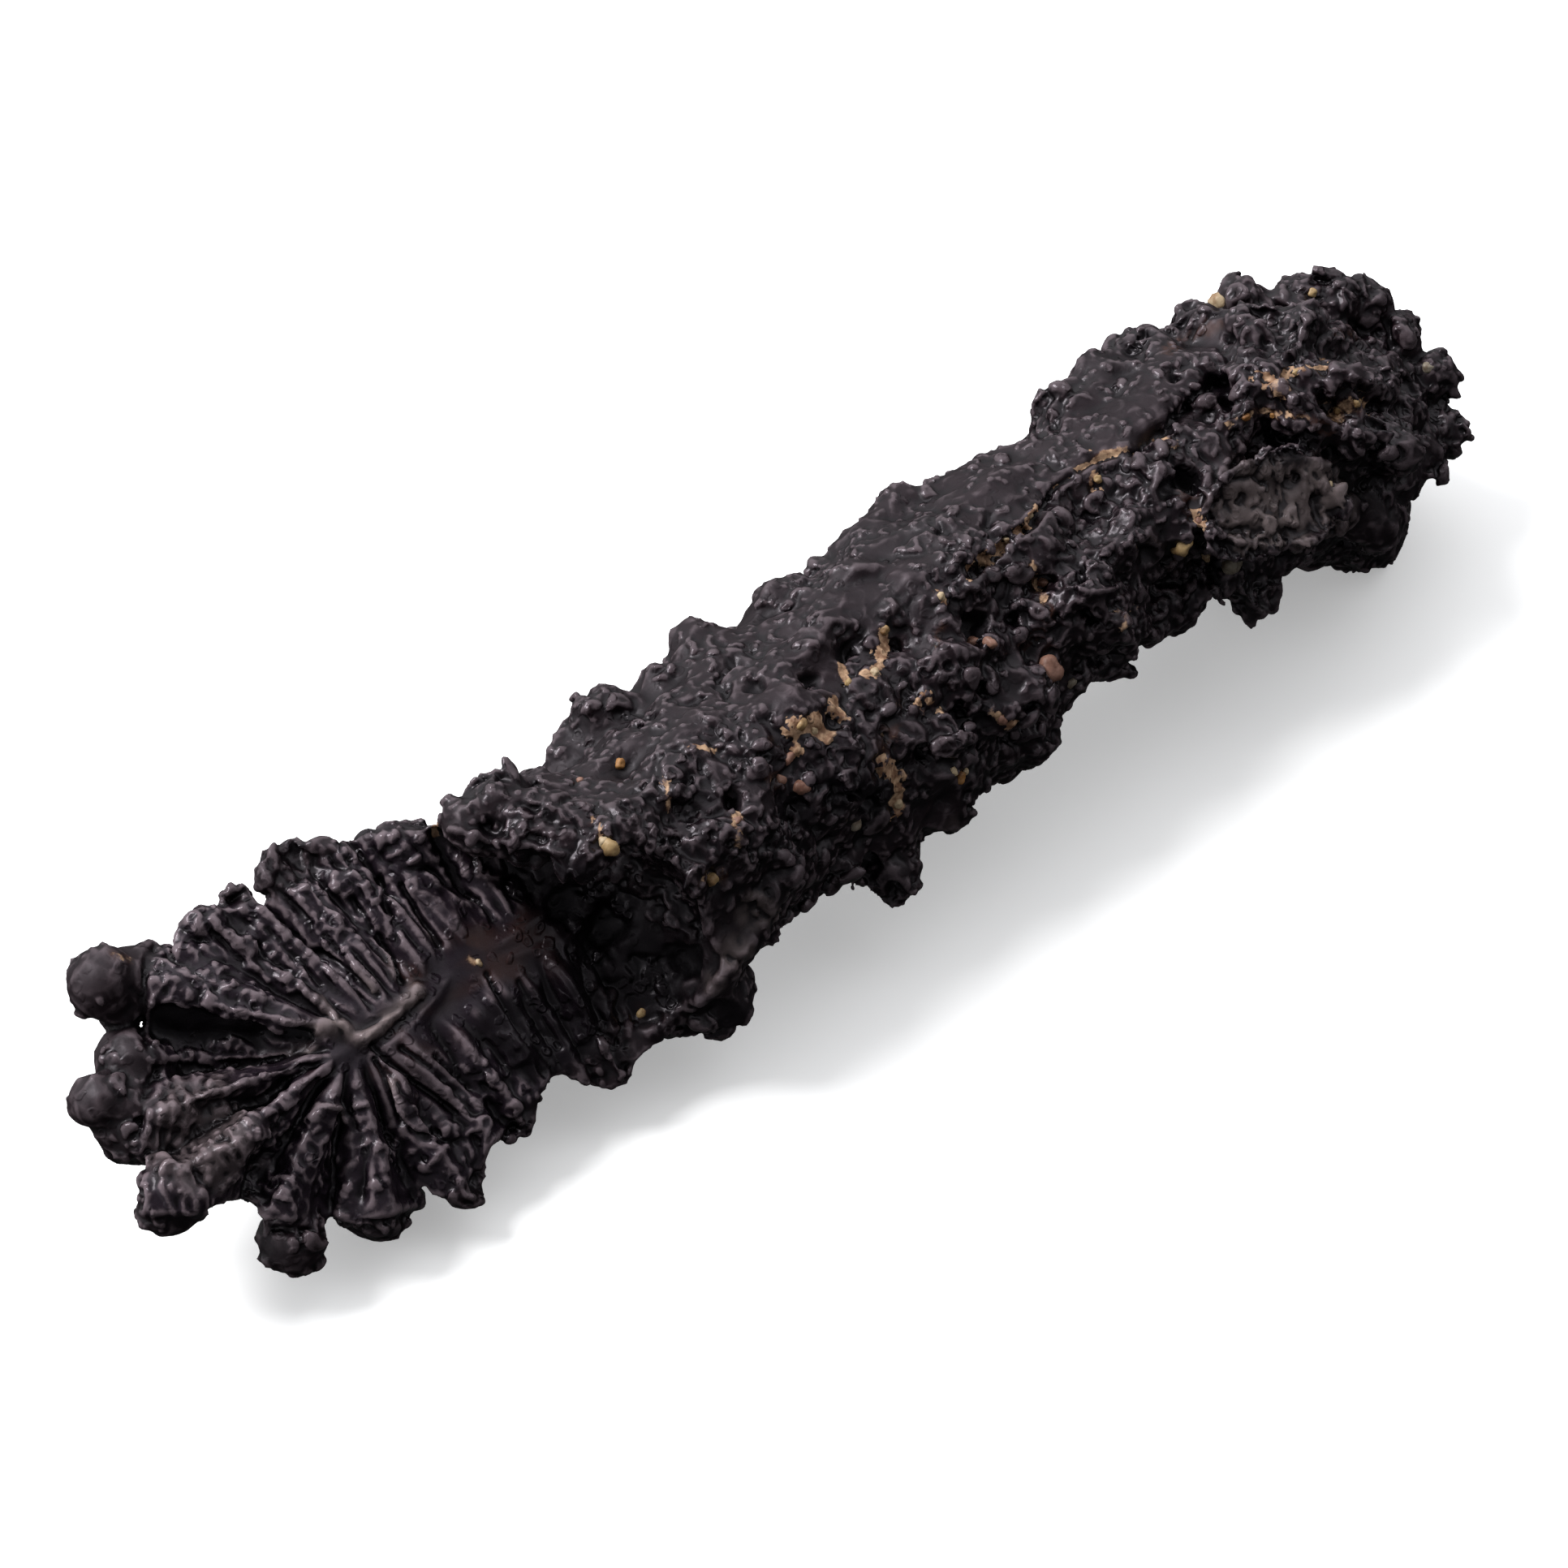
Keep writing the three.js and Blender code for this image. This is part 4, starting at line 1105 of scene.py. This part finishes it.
def grown_crystals(growth):
    """Small crystals rooted in the skin: points, triangles and the two layers of colour facts."""
    random = np.random.RandomState(CRYSTAL_SEED)
    crust, fan = growth["crust"], growth["fan"]
    tree = tree_of(growth["at"])
    blocks, rings = crystal_shapes(random), worm_shapes(random, 90, 330)
    slivers = worm_shapes(random, 15, 70)
    # the shapes, their spacing, the share of places, smallest and largest size, and height
    layers = [
        (blocks, 1.00, 0.6 * crust, 0.22, 0.5, 0.75),
        (blocks, 0.60, 0.25 * crust, 0.12, 0.24, 0.8),
        (rings, 0.64, growth["rings"] * (0.62 + 0.2 * crust), 0.22, 0.46, 0.85),
        (slivers, 0.7, 0.7 * fan, 0.36, 0.85, 0.5),
        (rings, 0.8, 0.25 * fan, 0.2, 0.36, 0.7),
    ]
    points, triangles, facts, count = [], [], [], 0
    for (shapes, faces), spacing, share, smallest, largest, height in layers:
        chosen = scattered(growth["at"], spacing, share, random)
        size = lerp(smallest, largest, random.rand(len(chosen)) ** 1.5)
        up = unit(growth["out"][chosen] + 0.13 * random.normal(size=(len(chosen), 3)))
        along = random.normal(size=up.shape)
        stray = 0.15 + 0.45 * growth["lobe"][chosen, None]
        along = np.where(fan[chosen, None] > 0.1, growth["needles"][chosen] + stray * along, along)
        side = unit(np.cross(up, along))
        turns = np.stack([np.cross(side, up), side, up], 1)
        local = shapes[random.randint(len(shapes), size=len(chosen))]
        sized = local * (size[:, None, None] * np.array([1, 1, height]))
        sink = ROOT_DEPTH * size[:, None]
        roots = growth["at"][chosen] - sink * growth["out"][chosen]
        grown = np.einsum("mvi,mij->mvj", sized, turns) + roots[:, None, :]
        if shapes is not blocks[0]:
            grown += settling(grown, sized[:, :-2, 2] - sink, tree, growth)
        # painted shade at each crystal's foot and where its root lies in painted shade; the skin's
        # paleness, partly painted light, passes to it too
        low = 1 - smoothstep(local[:, :, 2], -0.3, 0.15)
        flat = np.ones_like(low)
        sandy = growth["tan"][chosen, None] * (1 - 0.7 * smoothstep(local[:, :, 2], 0.4, 1.0))
        rusty = growth["rust"][chosen, None] * 0.6 * flat
        on_fan = (fan[chosen, None] > 0.1) * flat
        tones = random.rand(len(chosen), 1) * flat
        low = np.maximum(low, growth["shade"][chosen, None])
        pale = growth["pale"][chosen, None] * flat
        layer = [sandy, rusty, low, tones, flat, on_fan, pale, 0 * flat]
        facts.append(np.stack(layer, 2).reshape(-1, 8))
        step = count + np.arange(len(chosen))[:, None, None] * local.shape[1]
        triangles.append((faces[None] + step).reshape(-1, 3))
        points.append(grown.reshape(-1, 3))
        count += len(points[-1])
    facts = np.concatenate(facts)
    return np.concatenate(points), np.concatenate(triangles), facts[:, :4], facts[:, 4:]


def fused(skin, grown):
    """The skin and its crystals as one net, and the number of the old point nearest to each new."""
    joined = bmesh.new()
    joined.from_mesh(skin)
    joined.from_mesh(grown)
    both = bpy.data.meshes.new("joined")
    joined.to_mesh(both)
    joined.free()
    tree = tree_of(coordinates(both))
    mesh = modified(both, REMESH=squares(FUSED_VOXEL))
    points = coordinates(mesh)
    nearest = np.array([tree.find(point)[1] for point in points])
    ends = edge_ends(mesh)
    points = relaxed(points, ends, 1)
    put_coordinates(mesh, points)
    out = normals(mesh)
    near = softened(points, ends, 8)
    far = softened(near, ends, 30)
    # how far each point stands over the points and the skin round it, from which the material paints
    # highlight on crests and shade in low places
    crest = ((points - near) * out).sum(1) / CREST_FULL
    height = ((points - far) * out).sum(1) / HEIGHT_FULL
    paint(mesh, "form", [np.clip(0.5 + 0.5 * crest, 0, 1), np.clip(0.5 + 0.5 * height, 0, 1)])
    return mesh, nearest


# ---------------------------------------------------------------- lengths of the skin
def cut_across(mesh, places):
    """Cuts the net by planes square to X, so that no triangle crosses one of them."""
    net = bmesh.new()
    net.from_mesh(mesh)
    for x in places:
        near = [face for face in net.faces if abs(face.verts[0].co.x - x) < CUT_REACH]
        geometry = set(near)
        for face in near:
            geometry.update(face.edges)
            geometry.update(face.verts)
        bmesh.ops.bisect_plane(net, geom=list(geometry), dist=CUT_SLACK,
                               plane_co=(x, 0, 0), plane_no=(1, 0, 0))
    bmesh.ops.triangulate(net, faces=[face for face in net.faces if len(face.verts) > 3])
    net.to_mesh(mesh)
    net.free()


def cap(points, edges):
    """The flat triangles that close the outlines made by edges, facing along +X."""
    net = bmesh.new()
    used, inner = np.unique(edges, return_inverse=True)
    corners = [net.verts.new(point) for point in points[used]]
    for k, corner in enumerate(corners):
        corner.index = k
    outline = [net.edges.new((corners[i], corners[j])) for i, j in inner.reshape(-1, 2)]
    bmesh.ops.triangle_fill(net, edges=outline, normal=(1, 0, 0))
    triangles = np.array([[corner.index for corner in face.verts] for face in net.faces])
    net.free()
    first, second, third = (points[used][triangles[:, k]] for k in range(3))
    away = np.cross(second - first, third - first)[:, 0] < 0
    triangles[away] = triangles[away][:, ::-1]
    return used[triangles]


def in_largest_shell(mesh):
    """Which points belong to the one large shell, and not to a speck or a bubble inside it."""
    count = len(mesh.vertices)
    ends = edge_ends(mesh)
    both = np.concatenate([ends, ends[:, ::-1]])
    both = both[both[:, 0].argsort(kind="stable")]
    first = np.searchsorted(both[:, 0], np.arange(count + 1))
    for start in range(0, count, 997):  # tried in turn, until one is in that shell
        reached = np.zeros(count, bool)
        front = np.array([start])
        while len(front):
            reached[front] = True
            around = np.unique(np.concatenate([both[first[k]:first[k + 1], 1] for k in front]))
            front = around[~reached[around]]
        if reached.sum() > count / 2:
            return reached


def sides_of(triangles):
    """The edges of the triangles, each as often as it is used: first all the first ones."""
    edges = [triangles[:, [0, 1]], triangles[:, [1, 2]], triangles[:, [2, 0]]]
    return np.concatenate(edges).astype(np.int64)


def edge_keys(edges, count):
    """One number for each edge, the same for both ways along it, in a net of count points."""
    return np.sort(edges, 1) @ [count, 1]


def without_loose(triangles, count):
    """The triangles, less those that lie on each other or share fewer than two edges."""
    same = {"return_inverse": True, "return_counts": True}
    _, which, many = np.unique(np.sort(triangles, 1), axis=0, **same)
    triangles = triangles[many[which.ravel()] == 1]
    _, which, many = np.unique(edge_keys(sides_of(triangles), count), **same)
    return triangles[(many[which] > 1).reshape(3, -1).sum(0) > 1]


def lengths(mesh):
    """The skin in lengths with much the same number of triangles, each closed where it is cut."""
    middles = np.sort(coordinates(mesh)[triangle_corners(mesh), 0].mean(1))
    count = int(np.ceil(len(middles) / PIECE_TRIANGLES))
    places = [float(middles[k * len(middles) // count]) for k in range(1, count)]
    cut_across(mesh, places)
    points, out, corners = coordinates(mesh), normals(mesh), triangle_corners(mesh)
    corners = corners[in_largest_shell(mesh)[corners[:, 0]]]
    layers = {name: values_of(mesh.attributes[name].data, "color", 4, np.float32)
              for name in ("mineral", "surface", "form")}
    ends = [-np.inf, *places, np.inf]
    middles = points[corners, 0].mean(1)
    pieces, last_cap = [], np.empty((0, 3), int)
    for low, high in zip(ends, ends[1:]):
        part = corners[(middles > low) & (middles <= high)]
        edges = sides_of(part)
        keys = edge_keys(edges, len(points))
        _, first, many = np.unique(keys, return_index=True, return_counts=True)
        rim = edges[first[many == 1]]
        rim = rim[np.abs(points[rim[:, 0], 0] - high) < RIM_SLACK]
        next_cap = cap(points, rim) if len(rim) else np.empty((0, 3), int)
        part = without_loose(np.concatenate([part, last_cap[:, ::-1], next_cap]), len(points))
        last_cap = next_cap
        used, inner = np.unique(part, return_inverse=True)
        piece = mesh_of("length", points[used], inner.reshape(-1, 3))
        for name, layer in layers.items():
            paint(piece, name, layer[used].T)
        pieces.append((piece, out[used]))
    return pieces


# ---------------------------------------------------------------- pieces
def add_mesh(name, mesh, material):
    piece = linked(name, mesh)
    mesh.polygons.foreach_set("use_smooth", [True] * len(mesh.polygons))
    mesh.materials.clear()
    mesh.materials.append(material)
    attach(piece, "root")
    return piece


def build_skin():
    """The crystal skin in the stone's place, and a tree of its faces for casting rays."""
    dense = dense_skin(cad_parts["stone"])
    colours, growth = shape_skin(dense)
    points, triangles, mineral, surface = grown_crystals(growth)
    points = from_own(points)
    points[points[:, 2] < 0, 2] = 0
    mesh, nearest = fused(dense, mesh_of("crystals", points, triangles))
    for name, grown in (("mineral", mineral), ("surface", surface)):
        layer = np.concatenate([np.stack(colours[name], 1), grown])
        paint(mesh, name, layer[nearest].T)
    mesh = thinned(mesh, SKIN_TRIANGLES)
    whole = linked("whole", mesh)
    tree = BVHTree.FromObject(whole, bpy.context.evaluated_depsgraph_get())
    bpy.data.objects.remove(whole)
    material = stone_material()
    for k, (piece, out) in enumerate(lengths(mesh)):
        piece.transform(Matrix.Scale(0.001, 4))
        skin = add_mesh(f"stone_surface_{k + 1}", piece, material)
        piece.normals_split_custom_set_from_vertices(out)
        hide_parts("stone")
    return tree


def build_grains(tree):
    """Rounded sand grains, each sunk in the skin where the camera's ray meets it."""
    random = np.random.RandomState(GRAIN_SEED)
    round_points, faces = ball(3)
    points, tones, all_faces = [], [], []
    kinds = list(GRAIN_TINTS)
    for across, down, radius, kind in GRAINS:
        ray = ray_through(across, down)
        hit, out, _, _ = tree.ray_cast(Vector(camera_at), Vector(ray))
        if hit is None:
            continue
        size = radius / PX_PER_MM
        spin = Matrix.Rotation(6.28 * random.rand(), 3, Vector(random.normal(size=3)))
        stretch = lerp(0.8, 1.2, random.rand(3))
        bumps = 1 + 0.35 * noise(round_points + 9 * random.rand(3), 0.9, 81)[:, None]
        body = (round_points * bumps * stretch) @ np.array(spin) * size
        centre = np.array(hit) - GRAIN_SINK * size * np.array(out)
        all_faces.append(faces + sum(len(p) for p in points))
        points.append(body + centre)
        tones.append(np.full(len(body), (kinds.index(kind) + 0.5) / len(kinds)))
    mesh = mesh_of("grains", np.concatenate(points) / 1000, np.concatenate(all_faces))
    tones = np.concatenate(tones)
    paint(mesh, "mineral", [tones, tones, tones])
    return add_mesh("sand_grains", mesh, grain_material())


add_camera()
add_surroundings()
build_grains(build_skin())
bpy.context.scene.view_settings.view_transform = "Standard"
